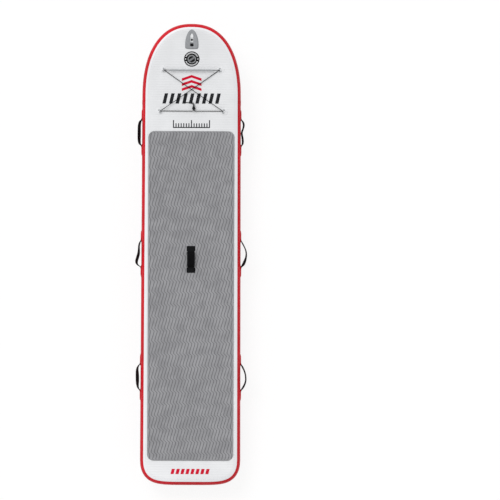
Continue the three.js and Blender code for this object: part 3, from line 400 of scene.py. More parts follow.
def slab(mesh, size, corner, edge, matrix):
    """Adds a flat block with rounded corners and a rounded top edge. It stands on the matrix's XY plane."""
    width, length, height = size
    place = Matrix.Translation((0, 0, height / 2)) @ Matrix.Diagonal((width, length, height, 1))
    made = bmesh.ops.create_cube(mesh, size=1, matrix=place)
    sides = {e for vert in made["verts"] for e in vert.link_edges}
    upright = [e for e in sides if abs(e.verts[0].co.z - e.verts[1].co.z) > height / 2]
    cornered = bevel(mesh, upright, corner, CORNER_STEPS)
    verts = {vert for face in cornered["faces"] for vert in face.verts}
    verts |= {vert for vert in made["verts"] if vert.is_valid}
    top = [
        e
        for e in {e for vert in verts for e in vert.link_edges}
        if all(vert.co.z > height * 0.99 for vert in e.verts) and e.calc_face_angle(0) > 1
    ]
    rounded = bevel(mesh, top, edge)
    verts = {vert for vert in verts if vert.is_valid} | set(rounded["verts"])
    bmesh.ops.transform(mesh, matrix=matrix, verts=list(verts))


def slab_piece(name, *form):
    mesh = bmesh.new()
    slab(mesh, *form)
    return closed_piece(mesh, name)


def bore(piece, radius, matrix):
    """Bores a round hole through a piece, and leaves a plain mesh."""
    mesh = bmesh.new()
    bmesh.ops.create_cone(
        mesh,
        cap_ends=True,
        segments=ROUND_SIDES,
        radius1=radius,
        radius2=radius,
        depth=BORE_DEPTH,
        matrix=matrix,
    )
    cutter = finish(mesh, "cutter")
    hole = piece.modifiers.new("hole", "BOOLEAN")
    hole.operation = "DIFFERENCE"
    hole.object = cutter
    bpy.context.view_layer.update()
    evaluated = piece.evaluated_get(bpy.context.evaluated_depsgraph_get())
    bored = bpy.data.meshes.new_from_object(evaluated)
    piece.modifiers.clear()
    piece.data = bored
    bpy.data.objects.remove(cutter)


def refined(node, edge):
    """A copy of a CAD node with its points merged, its edges eased and its curves smooth."""
    mesh = bmesh.new()
    mesh.from_mesh(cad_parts[node].data)
    bmesh.ops.remove_doubles(mesh, verts=mesh.verts, dist=MERGE_DISTANCE / 2)
    bmesh.ops.dissolve_limit(
        mesh,
        angle_limit=math.radians(1),
        verts=mesh.verts,
        edges=mesh.edges,
        use_dissolve_boundaries=False,
    )
    if edge:
        crisp = [e for e in mesh.edges if e.calc_face_angle(0) > SHARP]
        bevel(mesh, crisp, edge, clamp=True)
    bmesh.ops.recalc_face_normals(mesh, faces=mesh.faces)
    return finish(mesh, f"{node}_moulded")


def dress(piece, material, node=None, body="board"):
    """Gives a piece its material, its body and its slot, and hides the CAD node it stands for."""
    piece.data.materials.clear()
    piece.data.materials.append(material)
    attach(piece, body)
    if node:
        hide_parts(node)
    return piece


def mould(node, edge, material, body="board"):
    """Puts a refined copy of a CAD node in its place."""
    return dress(refined(node, edge), material, node, body)


def coat(node, material):
    """Gives a CAD node that stays in place its material."""
    node_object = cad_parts[node]
    if not node_object.material_slots:
        node_object.data.materials.append(material)
    for place in node_object.material_slots:
        place.link = "OBJECT"
        place.material = material


# Materials
def linear(hex_colour):
    """An sRGB hex colour as the linear colour that shaders take."""
    channels = [int(hex_colour[i : i + 2], 16) / 255 for i in (1, 3, 5)]
    return [c / 12.92 if c <= 0.04045 else ((c + 0.055) / 1.055) ** 2.4 for c in channels] + [1]


def feed(node, inputs):
    """Sets or links a shader node's inputs."""
    for key, value in inputs.items():
        if isinstance(value, bpy.types.NodeSocket):
            node.id_data.links.new(value, node.inputs[key])
        else:
            node.inputs[key].default_value = value


def add_node(tree, kind, inputs=(), **settings):
    made = tree.nodes.new(f"ShaderNode{kind}")
    for key, value in settings.items():
        setattr(made, key, value)
    feed(made, dict(inputs))
    return made


def calc(tree, operation, *values):
    return add_node(tree, "Math", enumerate(values), operation=operation).outputs[0]


def noise(tree, coords, scale, detail=2):
    return add_node(tree, "TexNoise", {"Vector": coords, "Scale": scale, "Detail": detail}).outputs["Fac"]


def remap(tree, value, low, high, to_low=0, to_high=1):
    ends = {"From Min": low, "From Max": high, "To Min": to_low, "To Max": to_high}
    return add_node(tree, "MapRange", {"Value": value, **ends}).outputs["Result"]


def blend(tree, share, dark, light):
    """A colour between two, each a hex colour or a socket."""
    dark, light = (linear(end) if isinstance(end, str) else end for end in (dark, light))
    return add_node(tree, "Mix", {"Factor": share, 6: dark, 7: light}, data_type="RGBA").outputs[2]


def mottle(tree, coords, scale, low, high, dark, light):
    """A colour that drifts between two in soft patches."""
    return blend(tree, remap(tree, noise(tree, coords, scale, 3), low, high), dark, light)


def bumps(tree, height, distance):
    return add_node(tree, "Bump", {"Height": height, "Distance": distance}).outputs["Normal"]


def new_material(name, coords="Object"):
    """A material, with the tree that holds its nodes, its shader and its coordinates."""
    material = bpy.data.materials.new(name)
    material.use_nodes = True
    tree = material.node_tree
    place = add_node(tree, "TexCoord").outputs[coords]
    return material, tree, tree.nodes["Principled BSDF"], place


def mottled(name, colours, drift, roughness, inputs, grain=None):
    """A material whose colour and roughness drift. Each of drift, roughness and grain starts with the scale
    of its noise, and grain ends with its height."""
    material, tree, shader, coords = new_material(name)
    wear = noise(tree, coords, roughness[0], 4)
    feed(shader, {"Base Color": mottle(tree, coords, *drift, *colours), **inputs})
    feed(shader, {"Roughness": remap(tree, wear, 0.35, 0.65, *roughness[1:])})
    if grain:
        feed(shader, {"Normal": bumps(tree, noise(tree, coords, grain[0]), grain[1])})
    return material


def coated_fabric(name, colours, ripple, roughness, shine=0.5):
    """PVC-coated drop-stitch fabric: a soft sheen, faint rows where the threads pull it in, and a fine cloth
    grain under the coat. The grain is really 1 mm, too fine to show, and is drawn at 4 mm. ripple is how far
    apart the rows are and how high the relief is, in millimetres."""
    inputs = {"IOR": 1.53, "Specular IOR Level": shine}
    material = mottled(name, colours, (5, 0.35, 0.65), (24, *roughness), inputs)
    tree = material.node_tree
    spacing, height = ripple[0] * MM, ripple[1] * MM
    coords = add_node(tree, "TexCoord").outputs["Object"]
    along = add_node(tree, "SeparateXYZ", {"Vector": coords}).outputs["Y"]
    wave = calc(tree, "SINE", calc(tree, "MULTIPLY", along, 2 * math.pi / spacing))
    uneven = calc(tree, "MULTIPLY", wave, noise(tree, coords, 9))
    surface = calc(tree, "MULTIPLY_ADD", noise(tree, coords, 250), 0.12, uneven)
    feed(tree.nodes["Principled BSDF"], {"Normal": bumps(tree, surface, height)})
    return material


def grooved_foam():
    """Closed-cell EVA foam, brushed on top: dull, with fine pores, and painted shade that darkens it down in
    its cut grooves.
    """
    material, tree, shader, coords = new_material("eva_foam_brushed_groove_shade")
    colour = mottle(tree, coords, 14, 0.35, 0.65, "#8C8C8F", "#9A9A9D")
    depth = add_node(tree, "Attribute", attribute_name="groove").outputs["Fac"]
    inputs = {
        # painted shade: down in the grooves the colour darkens towards #6A6A6D
        "Base Color": blend(tree, depth, colour, "#6A6A6D"),
        "Normal": bumps(tree, noise(tree, coords, 420, 3), 0.4 * MM),
        "Roughness": 0.88,
        "IOR": 1.48,
        "Sheen Weight": 0.15,
    }
    feed(shader, inputs)
    return material


def woven_webbing(name, colours, thread, sheen=0.05):
    """Woven polyester webbing: rows of slanted picks across the strap, dull, with a faint sheen on each."""
    material, tree, shader, coords = new_material(name, "UV")
    axes = add_node(tree, "SeparateXYZ", {"Vector": coords}).outputs
    picks = []
    for way in ("ADD", "SUBTRACT"):
        slanted = calc(tree, way, axes["X"], axes["Y"])
        picks.append(calc(tree, "SINE", calc(tree, "MULTIPLY", slanted, 2 * math.pi / thread)))
    raised = remap(tree, calc(tree, "MULTIPLY", *picks), -1, 1)
    inputs = {
        "Base Color": blend(tree, raised, *colours),
        "Normal": bumps(tree, raised, 0.5 * MM),
        "Roughness": 0.8,
        "Specular IOR Level": 0.08,
        "Sheen Weight": sheen,
    }
    feed(shader, inputs)
    return material


def moulded_plastic(name, colours, roughness, shine=0.5):
    """Injection-moulded nylon or ABS: even colour, a fine spark-eroded grain and a soft shine."""
    inputs = {"IOR": 1.5, "Specular IOR Level": shine}
    return mottled(name, colours, (60, 0.3, 0.7), (180, *roughness), inputs, (1250, 0.15 * MM))


def soft_rubber(name, colours, roughness, shine):
    """Moulded rubber: near black, dull, with a slightly dusty bloom."""
    inputs = {"IOR": 1.52, "Specular IOR Level": shine}
    return mottled(name, colours, (40, 0.35, 0.7), (90, *roughness), inputs, (700, 0.1 * MM))


def stainless_steel():
    """Polished stainless wire with fine draw marks."""
    colours = ("#8C8F93", "#A6A9AC")
    return mottled("stainless_wire_polished", colours, (90, 0.3, 0.7), (300, 0.16, 0.34), {"Metallic": 1})


def printing_ink(name, colours):
    """Screen-printed vinyl ink: flat, deep in colour and smoother than the cloth under it."""
    inputs = {"Specular IOR Level": 0.12}
    return mottled(name, colours, (30, 0.4, 0.6), (60, 0.34, 0.5), inputs, (250, 0.05 * MM))


WHITE_FABRIC = coated_fabric("pvc_drop_stitch_white", ("#E2E3E5", "#E9EAEC"), (19, 0.5), (0.42, 0.55))
WHITE_TAPE = coated_fabric("pvc_tape_white", ("#E8E9EC", "#EDEEF1"), (19, 0.05), (0.42, 0.52))
RED_FABRIC = coated_fabric("pvc_rail_red", ("#C20519", "#D00C22"), (14, 0.08), (0.5, 0.6), 0.22)
RED_PATCH = coated_fabric("pvc_patch_red", ("#BC0418", "#CA0B20"), (14, 0.05), (0.5, 0.6), 0.2)
CORE_WEAVE = coated_fabric("drop_stitch_core_cloth", ("#D2D3D6", "#DCDDE0"), (8, 0.3), (0.7, 0.85))
PAD_FOAM = grooved_foam()
BLACK_WEBBING = woven_webbing("polyester_webbing_black", ("#070708", "#18191B"), 5 * MM)
BUNGEE_BRAID = woven_webbing("bungee_braid_black", ("#050506", "#131315"), 3 * MM, 0)
THREAD = woven_webbing("nylon_thread_black", ("#161719", "#2A2B2E"), 1 * MM)
BLACK_PLASTIC = moulded_plastic("nylon_moulded_black", ("#101113", "#18191B"), (0.34, 0.48), 0.15)
GREY_PLASTIC = moulded_plastic("abs_moulded_grey", ("#909296", "#9B9DA0"), (0.42, 0.56))
DARK_PLASTIC = moulded_plastic("abs_moulded_dark_grey", ("#6C6E71", "#787A7D"), (0.4, 0.52))
PALE_PLASTIC = moulded_plastic("polythene_tube_pale", ("#999C9F", "#A5A8AB"), (0.42, 0.55))
LIGHT_PLASTIC = moulded_plastic("abs_moulded_light", ("#E4E6E8", "#ECEDEE"), (0.36, 0.48))
STRIP_PLASTIC = moulded_plastic("abs_moulded_pale_grey", ("#C8CACC", "#D2D4D6"), (0.36, 0.48))
BLACK_RUBBER = soft_rubber("rubber_moulded_black", ("#0D0D0F", "#171719"), (0.55, 0.72), 0.12)
SLEEVE_RUBBER = soft_rubber("neoprene_sleeve_black", ("#060607", "#0E0E10"), (0.7, 0.85), 0.06)
STEEL = stainless_steel()
RED_INK = printing_ink("vinyl_ink_red", ("#C8052A", "#D20931"))
BLACK_INK = printing_ink("vinyl_ink_black", ("#17181B", "#232428"))
GREY_INK = printing_ink("vinyl_ink_dark_grey", ("#26282B", "#303236"))
WHITE_INK = printing_ink("vinyl_ink_white", ("#ECEDEF", "#F5F6F7"))


# The hull's outline and its surface
NOSE_STEPS = 32
TAIL_STEPS = 20
TAIL_CROWDING = 2.2
STATION_STEP = 45 * MM


def side_x(y):
    return lerp(SHOULDER_WIDTH, WIDTH, (SHOULDER_Y - y) / (SHOULDER_Y - CORNER_Y)) / 2


def half_outline():
    """The starboard half of the outline, from the tip of the nose to the middle of the tail."""
    points = []
    for k in range(NOSE_STEPS):
        turn = k / NOSE_STEPS * math.pi / 2
        x = SHOULDER_WIDTH / 2 * math.sin(turn) ** (2 / NOSE_FULLNESS)
        points.append((x, SHOULDER_Y + NOSE_LENGTH * math.cos(turn) ** (2 / NOSE_FULLNESS)))
    for start, end in ((SHOULDER_Y, FRONT_SEAM_Y), (FRONT_SEAM_Y, REAR_SEAM_Y), (REAR_SEAM_Y, CORNER_Y)):
        points += [(side_x(y), y) for y in stretch(start, end, STATION_STEP)]
    for k in range(TAIL_STEPS, 0, -1):
        turn = (k / TAIL_STEPS) ** TAIL_CROWDING * math.pi / 2
        x = WIDTH / 2 * math.sin(turn) ** (2 / TAIL_SQUARENESS)
        points.append((x, CORNER_Y - TAIL_LENGTH * abs(math.cos(turn)) ** (2 / TAIL_FULLNESS)))
    return points + [(0, TAIL_Y)]


HALF = half_outline()


def whole_outline():
    """Every station round the board: its place and the direction that leads inwards from it."""
    points = HALF + [(-x, y) for x, y in HALF[-2:0:-1]]
    stations = []
    for i, (x, y) in enumerate(points):
        ax, ay = points[i - 1]
        bx, by = points[(i + 1) % len(points)]
        run = math.hypot(bx - ax, by - ay)
        stations.append((x, y, (by - ay) / run, (ax - bx) / run))
    return stations


STATIONS = whole_outline()


def rail_point(angle, offset):
    """How far in from the edge, and how high, the rail lies at an angle up from its widest line."""
    turn = math.radians(abs(angle))
    across = abs(math.cos(turn)) ** (2 / RAIL_FULLNESS)
    upward = math.sin(turn) ** (2 / RAIL_FULLNESS)
    out = across ** (RAIL_FULLNESS - 1) / RAIL_DEPTH
    up = upward ** (RAIL_FULLNESS - 1) / (THICKNESS / 2)
    size = math.hypot(out, up)
    inset = RAIL_DEPTH * (1 - across) - out / size * offset
    height = THICKNESS / 2 * upward + up / size * offset
    return inset, math.copysign(height, angle)


def hull_point(station, angle, offset=0.0):
    x, y, in_x, in_y = station
    inset, height = rail_point(angle, offset)
    place_y = y + in_y * inset
    return Vector((x + in_x * inset, place_y, MIDDLE + rocker_at(place_y) + height))


def on_rail(side, y, up, offset):
    """A place on the side of the rail: along the board, up from its widest line and out from its surface."""
    upward = min(abs(up) / (THICKNESS / 2), 1)
    angle = math.degrees(math.asin(upward ** (RAIL_FULLNESS / 2)))
    inset, height = rail_point(math.copysign(angle, up), offset)
    return Vector((side * (side_x(y) - inset), y, MIDDLE + rocker_at(y) + height))


# Deck and hull skins
SKIN_ANGLES = (65, 68, 71, 74, 78, 81, 84, 86, 88, 89, 90)
SKIN_CROSSINGS = 24
TAPE_STEPS = 7
RAIL_STEPS = 20


def skin_sheet(name, side):
    """A sheet from rail to rail: down over the rail's shoulder on both sides, and flat between them."""
    shoulder = len(SKIN_ANGLES)
    columns = 2 * shoulder + SKIN_CROSSINGS - 1
    mirror = Vector((-1, 1, 1))

    def place(column, row):
        station = STATIONS[row]
        if column < shoulder:
            return hull_point(station, side * SKIN_ANGLES[column])
        if column >= columns - shoulder:
            return hull_point(station, side * SKIN_ANGLES[columns - 1 - column]) * mirror
        inner = hull_point(station, side * 90)
        return lerp(inner, inner * mirror, (column - shoulder + 1) / SKIN_CROSSINGS)

    looks_out = faces_up if side > 0 else faces_down
    return grid_piece(name, columns, len(HALF), place, looks_out=looks_out, wall=SKIN)


def ring_sheet(name, angles, offset, stations, wall):
    """A sheet that follows the rail along some stations, between angles up and down from its widest line."""

    def place(column, row):
        return hull_point(stations[row], angles[column], offset)

    return grid_piece(name, len(angles), len(stations), place, looks_out=faces_out, wall=wall)


def make_hull():
    for name, side in (("deck", 1), ("hull", -1)):
        sheet = skin_sheet(f"{name}_sheet", side)
        dress(sheet, WHITE_FABRIC, f"{name}_skin")
        angles = [side * angle for angle in spread(*TAPE_EDGES, TAPE_STEPS)]
        tape = ring_sheet(f"{name}_edge_tape", angles, SEAT + TAPE, STATIONS + STATIONS[:1], TAPE)
        dress(tape, WHITE_TAPE, f"{name}_seam_tape")
    angles = spread(-SKIN_EDGE, SKIN_EDGE, RAIL_STEPS)
    ys = [y for _, y in HALF]
    front = ys.index(FRONT_SEAM_Y)
    rear = ys.index(REAR_SEAM_Y)
    count = len(STATIONS)
    stretches = {
        "nose": (count - front, count + front),
        "starboard": (front, rear),
        "tail": (rear, count - rear),
        "port": (count - rear, count - front),
    }
    for name, (first, last) in stretches.items():
        stations = [STATIONS[i % count] for i in range(first, last + 1)]
        rail = ring_sheet(f"rail_sheet_{name}", angles, 0, stations, SKIN)
        dress(rail, RED_FABRIC, f"rail_{name}")


SEAM_COVER = 34 * MM
SEAM_COVER_THICKNESS = 0.8 * MM
SEAM_COVER_STEPS = 14


def make_seam_covers():
    """Narrow red bands welded over the joints between the rail's four strips."""
    angles = spread(-TAPE_EDGES[0], TAPE_EDGES[0], SEAM_COVER_STEPS)
    offset = SEAT + SEAM_COVER_THICKNESS
    for end, middle in (("front", FRONT_SEAM_Y), ("rear", REAR_SEAM_Y)):
        ys = spread(middle + SEAM_COVER / 2, middle - SEAM_COVER / 2, 2)
        for side_name, side in SIDES:
            stations = [(side * side_x(y), y, -side, 0) for y in ys]
            name = f"rail_seam_{end}_{side_name}"
            cover = ring_sheet(name, angles, offset, stations, SEAM_COVER_THICKNESS)
            dress(cover, RED_PATCH)


# The traction pad: foam with wavy grooves that run the length of the board
PAD_FRONT = NOSE_Y - 815 * MM
PAD_REAR = TAIL_Y + 185 * MM
PAD_WIDTH = 654 * MM
PAD_CORNER = 48 * MM
PAD_THICKNESS = 5 * MM
PAD_BEVEL = 2 * MM
GROOVE_SPACING = 23.9 * MM
GROOVE_DEPTH = 1.6 * MM
GROOVE_HALF = 1.6 * MM
GROOVE_WALL = 1.5 * MM
GROOVE_WAVE = 94 * MM
GROOVE_SWING = 10 * MM
GROOVE_LEAN = 0.8
GROOVE_ROUNDING = 0.4
PAD_ROW = 5.6 * MM
PAD_EDGE_FADE = 30 * MM


def pad_half_width(y):
    """Half the pad's width at a station, drawn in round its corners."""
    past = max(0, PAD_CORNER - min(PAD_FRONT - y, y - PAD_REAR))
    return PAD_WIDTH / 2 - PAD_CORNER + math.sqrt(max(0, PAD_CORNER**2 - past**2))


def groove_swing(y):
    """How far a groove stands to the side: long strokes that lean to starboard, and short ones back."""
    share = (y / GROOVE_WAVE) % 1
    if share < GROOVE_LEAN:
        swing = lerp(-1, 1, share / GROOVE_LEAN)
    else:
        swing = lerp(1, -1, (share - GROOVE_LEAN) / (1 - GROOVE_LEAN))
    return GROOVE_SWING * lerp(swing, math.sin(swing * math.pi / 2), GROOVE_ROUNDING)


def pad_columns():
    """The pad's columns, rim first: places across, and how deep in a groove each lies."""
    count = int((PAD_WIDTH / 2 - PAD_CORNER / 4) / GROOVE_SPACING)
    columns = []
    for i in range(-count, count + 1):
        middle = i * GROOVE_SPACING
        wall = GROOVE_HALF + GROOVE_WALL
        for step, depth in ((-wall, 0), (-GROOVE_HALF, 1), (GROOVE_HALF, 1), (wall, 0)):
            columns.append((middle + step, depth))
        if i < count:
            columns.append((middle + GROOVE_SPACING / 2, 0))
    rim = PAD_WIDTH / 2
    inner = rim - PAD_BEVEL
    return [(-rim, 0), (-rim, 0), (-inner, 0), *columns, (inner, 0), (rim, 0), (rim, 0)]


def make_pad():
    columns = pad_columns()
    rows = [PAD_FRONT, PAD_FRONT, PAD_FRONT - PAD_BEVEL]
    rows += stretch(PAD_FRONT - 2 * PAD_BEVEL, PAD_REAR + 2 * PAD_BEVEL, PAD_ROW)
    rows += [PAD_REAR + PAD_BEVEL, PAD_REAR, PAD_REAR]
    levels = [0, PAD_THICKNESS - PAD_BEVEL, PAD_THICKNESS]
    painted_groove_shade = {}

    def place(column, row):
        y = rows[row]
        across, depth = columns[column]
        rank = min(column, len(columns) - 1 - column, row, len(rows) - 1 - row)
        inset = PAD_BEVEL if rank > 1 else 0
        limit = pad_half_width(y) - inset
        if rank > 2:
            room = PAD_WIDTH / 2 - abs(across)
            x = across + groove_swing(y) * min(1, max(0, room / PAD_EDGE_FADE))
            cut = depth if min(PAD_FRONT - y, y - PAD_REAR) > 3 * PAD_BEVEL else 0
        else:
            x = across * limit / (PAD_WIDTH / 2 - inset)
            cut = 0
        painted_groove_shade[(column, row)] = cut
        up = levels[min(rank, 2)] - GROOVE_DEPTH * cut
        return Vector((max(-limit, min(limit, x)), y, deck_height(y) + SEAT + up))

    mesh = bmesh.new()
    # The groove attribute is each point's depth in a groove, which masks the foam's painted groove shade
    layer = mesh.verts.layers.float.new("groove")
    for vert, spot in bend_grid(mesh, len(columns), len(rows), place).items():
        vert[layer] = painted_groove_shade[spot]
    rim = [edge for edge in mesh.edges if edge.is_boundary]
    bmesh.ops.triangle_fill(mesh, use_beauty=True, edges=rim)
    pad = closed_piece(mesh, "grooved_pad")
    dress(pad, PAD_FOAM, "traction_pad")


# The carry handle: a webbing strap bowed over the pad, in a padded sleeve, with a sewn patch under each end
STRAP_THICKNESS = 2.5 * MM
STRAP_EDGE = 1 * MM
CARRY_Y = -37.5 * MM
CARRY_FLOOR = MIDDLE + THICKNESS / 2 + SEAT + PAD_THICKNESS
CARRY_STRAP_WIDTH = 50 * MM
CARRY_STRAP_LENGTH = 196 * MM
CARRY_RISE = 34 * MM
CARRY_FOOT = 30 * MM
CARRY_RISE_SHARES = (0, 0.45, 0.8, 0.95, 1, 0.95, 0.8, 0.45, 0)
CARRY_PATCH = (66 * MM, 40 * MM, 1.6 * MM)
CARRY_PATCH_CORNER = 6 * MM
CARRY_PATCH_EDGE = 0.4 * MM
CARRY_PATCH_MARGIN = 4 * MM
SLEEVE_LENGTH = 116 * MM
SLEEVE_WALL = 4 * MM
SLEEVE_FILL = 0.9
SLEEVE_ROUNDING = 0.42
SLEEVE_EDGE_STEPS = 5
SLEEVE_END_SIZES = [0.93, 0.98]
STITCH_PITCH = 5.2 * MM
STITCH_LENGTH = 3.6 * MM
STITCH_THICKNESS = 0.9 * MM
STITCH_INSET = (3.5 * MM, 4 * MM)
BOX_STITCH_MARGIN = 9 * MM
BOX_STITCH_SHIFT = 1 * MM


def carry_path():
    base = SEAT + CARRY_PATCH[2] + SEAT + STRAP_THICKNESS / 2
    arch = CARRY_STRAP_LENGTH / 2 - CARRY_FOOT
    points = [(-CARRY_STRAP_LENGTH / 2, base)]
    for y, share in zip(spread(-arch, arch, len(CARRY_RISE_SHARES) - 1), CARRY_RISE_SHARES):
        points.append((y, base + share * CARRY_RISE))
    points.append((CARRY_STRAP_LENGTH / 2, base))
    return soften([Vector((0, CARRY_Y + y, CARRY_FLOOR + z)) for y, z in points])


def add_stitches(mesh, start, end):
    """A row of stitches from start to end: short threads that lie on a level face."""
    run = end - start
    count = max(2, round(run.length / STITCH_PITCH))
    along = run.normalized()
    up = Vector((0, 0, 1))
    turn = Matrix((along, up.cross(along), up)).transposed().to_4x4()
    size = Matrix.Diagonal((STITCH_LENGTH / 2, STITCH_THICKNESS / 2, STITCH_THICKNESS / 2, 1))
    for i in range(count):
        spot = Matrix.Translation(lerp(start, end, (i + 0.5) / count))
        bmesh.ops.create_icosphere(mesh, subdivisions=1, radius=1, matrix=spot @ turn @ size)


def add_box_stitch(mesh, centre, width, length):
    """A sewn box with a cross in it."""
    ends = ((1, -1), (-1, -1), (-1, 1), (1, 1))
    corners = [centre + Vector((width / 2 * a, length / 2 * b, 0)) for a, b in ends]
    for a, b in ((0, 1), (1, 2), (2, 3), (3, 0), (0, 2), (1, 3)):
        add_stitches(mesh, corners[a], corners[b])


def make_carry_handle():
    path = carry_path()
    section = rounded_section(CARRY_STRAP_WIDTH, STRAP_THICKNESS, STRAP_EDGE)
    strap = swept_piece("carry_strap", path, section)
    dress(strap, BLACK_WEBBING, "carry_handle_strap")
    inside = [point for point in path if abs(point.y - CARRY_Y) < SLEEVE_LENGTH / 2]
    gap = SEAT + SLEEVE_WALL
    height = STRAP_THICKNESS + 2 * gap
    rounding = (height * SLEEVE_ROUNDING, SLEEVE_EDGE_STEPS)
    outer = rounded_section(CARRY_STRAP_WIDTH + 2 * gap, height, *rounding)
    sizes = SLEEVE_END_SIZES + [1] * (len(inside) - 4) + SLEEVE_END_SIZES[::-1]
    wall = SLEEVE_WALL * SLEEVE_FILL
    sleeve = swept_piece("carry_sleeve", inside, outer, caps=False, wall=wall, sizes=sizes)
    dress(sleeve, SLEEVE_RUBBER, "carry_handle_sleeve")
    width, length, thickness = CARRY_PATCH
    for name, end in (("front", 1), ("rear", -1)):
        y = CARRY_Y + end * (CARRY_STRAP_LENGTH / 2 + CARRY_PATCH_MARGIN - length / 2)
        lie = Matrix.Translation((0, y, CARRY_FLOOR + SEAT))
        patch = slab_piece(f"carry_patch_{name}", CARRY_PATCH, CARRY_PATCH_CORNER, CARRY_PATCH_EDGE, lie)
        dress(patch, BLACK_WEBBING, f"carry_handle_patch_{name}")
        mesh = bmesh.new()
        top = CARRY_FLOOR + SEAT + thickness
        for side in (-1, 1):
            x = side * (width / 2 - STITCH_INSET[0])
            half = length / 2 - STITCH_INSET[1]
            add_stitches(mesh, Vector((x, y - half, top)), Vector((x, y + half, top)))
        foot = CARRY_Y + end * (CARRY_STRAP_LENGTH / 2 - CARRY_FOOT / 2 - BOX_STITCH_SHIFT)
        centre = Vector((0, foot, path[0].z + STRAP_THICKNESS / 2))
        box = (CARRY_STRAP_WIDTH - BOX_STITCH_MARGIN, CARRY_FOOT - BOX_STITCH_MARGIN)
        add_box_stitch(mesh, centre, *box)
        dress(finish(mesh, f"carry_stitches_{name}"), THREAD)


# The rail handles: webbing between two domed patches, each bowed or twisted in its own way
HANDLE_SPAN = 200 * MM
HANDLE_REACH = 46 * MM
HANDLE_ROWS = {
    "front": NOSE_Y - 828 * MM,
    "middle": 4.5 * MM,
    "rear": TAIL_Y + 819 * MM,
}
RAIL_STRAP_WIDTH = 38 * MM
PATCH_LENGTH = 90 * MM
PATCH_HEIGHT = 68 * MM
PATCH_RIM = 1.2 * MM
PATCH_DOME = 5.2 * MM
PATCH_OFFSET = 32 * MM
PATCH_STEPS = 40
PATCH_RIM_SHARES = ((1, 0), (1, 0.6), (0.985, 1))
PATCH_SHOULDER = 0.94
PATCH_CROWN = 0.3
PATCH_CROWDING = 1.6
PATCH_RISES = 8
STRAP_ANCHOR = 45 * MM
STRAP_FLOOR = SEAT + PATCH_RIM + SEAT + STRAP_THICKNESS / 2
STRAP_STATION_SHARES = (0, 0.08, 0.2, 0.35, 0.5, 0.65, 0.8, 0.92, 1)

# For each handle: its reach and how far it stands out at its stations, in percent, and its roll in degrees
STRAP_FORMS = {
    "port_front": (42, (0, 66, 95, 100, 100, 100, 100, 80, 0), (8, 30, 36, 38, 40, 40, 36, 28, 8)),
    "port_middle": (100, (0, 22, 34, 34, 38, 56, 76, 60, 0), (8, 16, 18, 22, 32, 36, 32, 20, 8)),
    "port_rear": (50, (0, 66, 100, 94, 90, 88, 85, 62, 0), (8, 16, 28, 38, 42, 40, 28, 18, 8)),
    "starboard_front": (50, (0, 62, 92, 62, 10, 40, 56, 50, 0), (8, 22, 20, 18, 20, 22, 22, 20, 8)),
    "starboard_middle": (100, (0, 22, 50, 80, 90, 82, 60, 34, 0), (8, 14, 12, 12, 14, 20, 34, 36, 10)),
    "starboard_rear": (100, (0, 24, 50, 74, 83, 82, 58, 27, 0), (8, 20, 16, 14, 14, 16, 20, 22, 8)),
}


def rail_strap(side, middle, form):
    """The path of a rail handle, and the direction across its webbing at each point."""
    reach, outs, rolls = form
    half = HANDLE_SPAN / 2
    anchors = (STRAP_ANCHOR, STRAP_ANCHOR / 2)
    spots = [(half + back, 0) for back in anchors]
    for share, out in zip(STRAP_STATION_SHARES, outs):
        spots.append((half - share * HANDLE_SPAN, out / 100 * reach / 100 * HANDLE_REACH))
    spots += [(-half - back, 0) for back in anchors[::-1]]
    points = [on_rail(side, middle + along, 0, STRAP_FLOOR + out) for along, out in spots]
    turns = [math.radians(roll) for roll in (0, 0, *rolls, 0, 0)]
    lifts = [Vector((side * math.sin(turn), 0, math.cos(turn))) for turn in turns]
    return soften(points), soften(lifts)


def rail_patch(name, side, middle):
    """A domed oval patch, moulded to the rail."""
    profile = [(size, SEAT + PATCH_RIM * rise) for size, rise in PATCH_RIM_SHARES]
    for share in spread(0, 1, PATCH_RISES):
        rise = lerp(PATCH_RIM, PATCH_DOME, math.sin(share * math.pi / 2))
        profile.append((lerp(PATCH_SHOULDER, PATCH_CROWN, share**PATCH_CROWDING), SEAT + rise))
    profile.append((0, SEAT + PATCH_DOME))

    def place(column, row):
        size, offset = profile[row]
        turn = 2 * math.pi * column / PATCH_STEPS
        y = middle + size * PATCH_LENGTH / 2 * math.sin(turn)
        return on_rail(side, y, size * PATCH_HEIGHT / 2 * math.cos(turn), offset)

    return grid_piece(name, PATCH_STEPS + 1, len(profile), place, caps=True)


def make_rail_handles():
    section = rounded_section(STRAP_THICKNESS, RAIL_STRAP_WIDTH, STRAP_EDGE)
    for side_name, side in SIDES:
        for row, middle in HANDLE_ROWS.items():
            name = f"{side_name}_{row}"
            path, lifts = rail_strap(side, middle, STRAP_FORMS[name])
            strap = swept_piece(f"rail_strap_{name}", path, section, lifts=lifts)
            dress(strap, BLACK_WEBBING, f"rail_handle_strap_{name}")
            for end_name, end in (("fore", 1), ("aft", -1)):
                y = middle + end * (HANDLE_SPAN / 2 + PATCH_OFFSET)
                patch = rail_patch(f"rail_patch_{name}_{end_name}", side, y)
                node = f"rail_handle_patch_{name}_{end_name}"
                dress(patch, RED_PATCH, node)


def add_spring(node):
    """A refined copy of a spring's CAD node, with a mesh of its own."""
    spring = mould(node, 0, STEEL)
    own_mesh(spring)


# The bungee: its cord, the tube on its front run, its rings and their saddles
CORD_SIDES = 12
TUBE_RADIUS = 5.9 * MM
TUBE_SIDES = 24
TUBE_STEPS = 12
TUBE_WALL = 2.9 * MM
TUBE_END = 26 * MM
RING_STEPS = 28
RING_HEEL = (0.12, 0.4)
WIRE_SIDES = 12
RING_SIZE = (26 * MM, 20 * MM, 4 * MM)
SADDLE_EDGE = 0.35 * MM
LOCK_EDGE = 0.4 * MM
LOCK_BUTTON_EDGE = 0.3 * MM


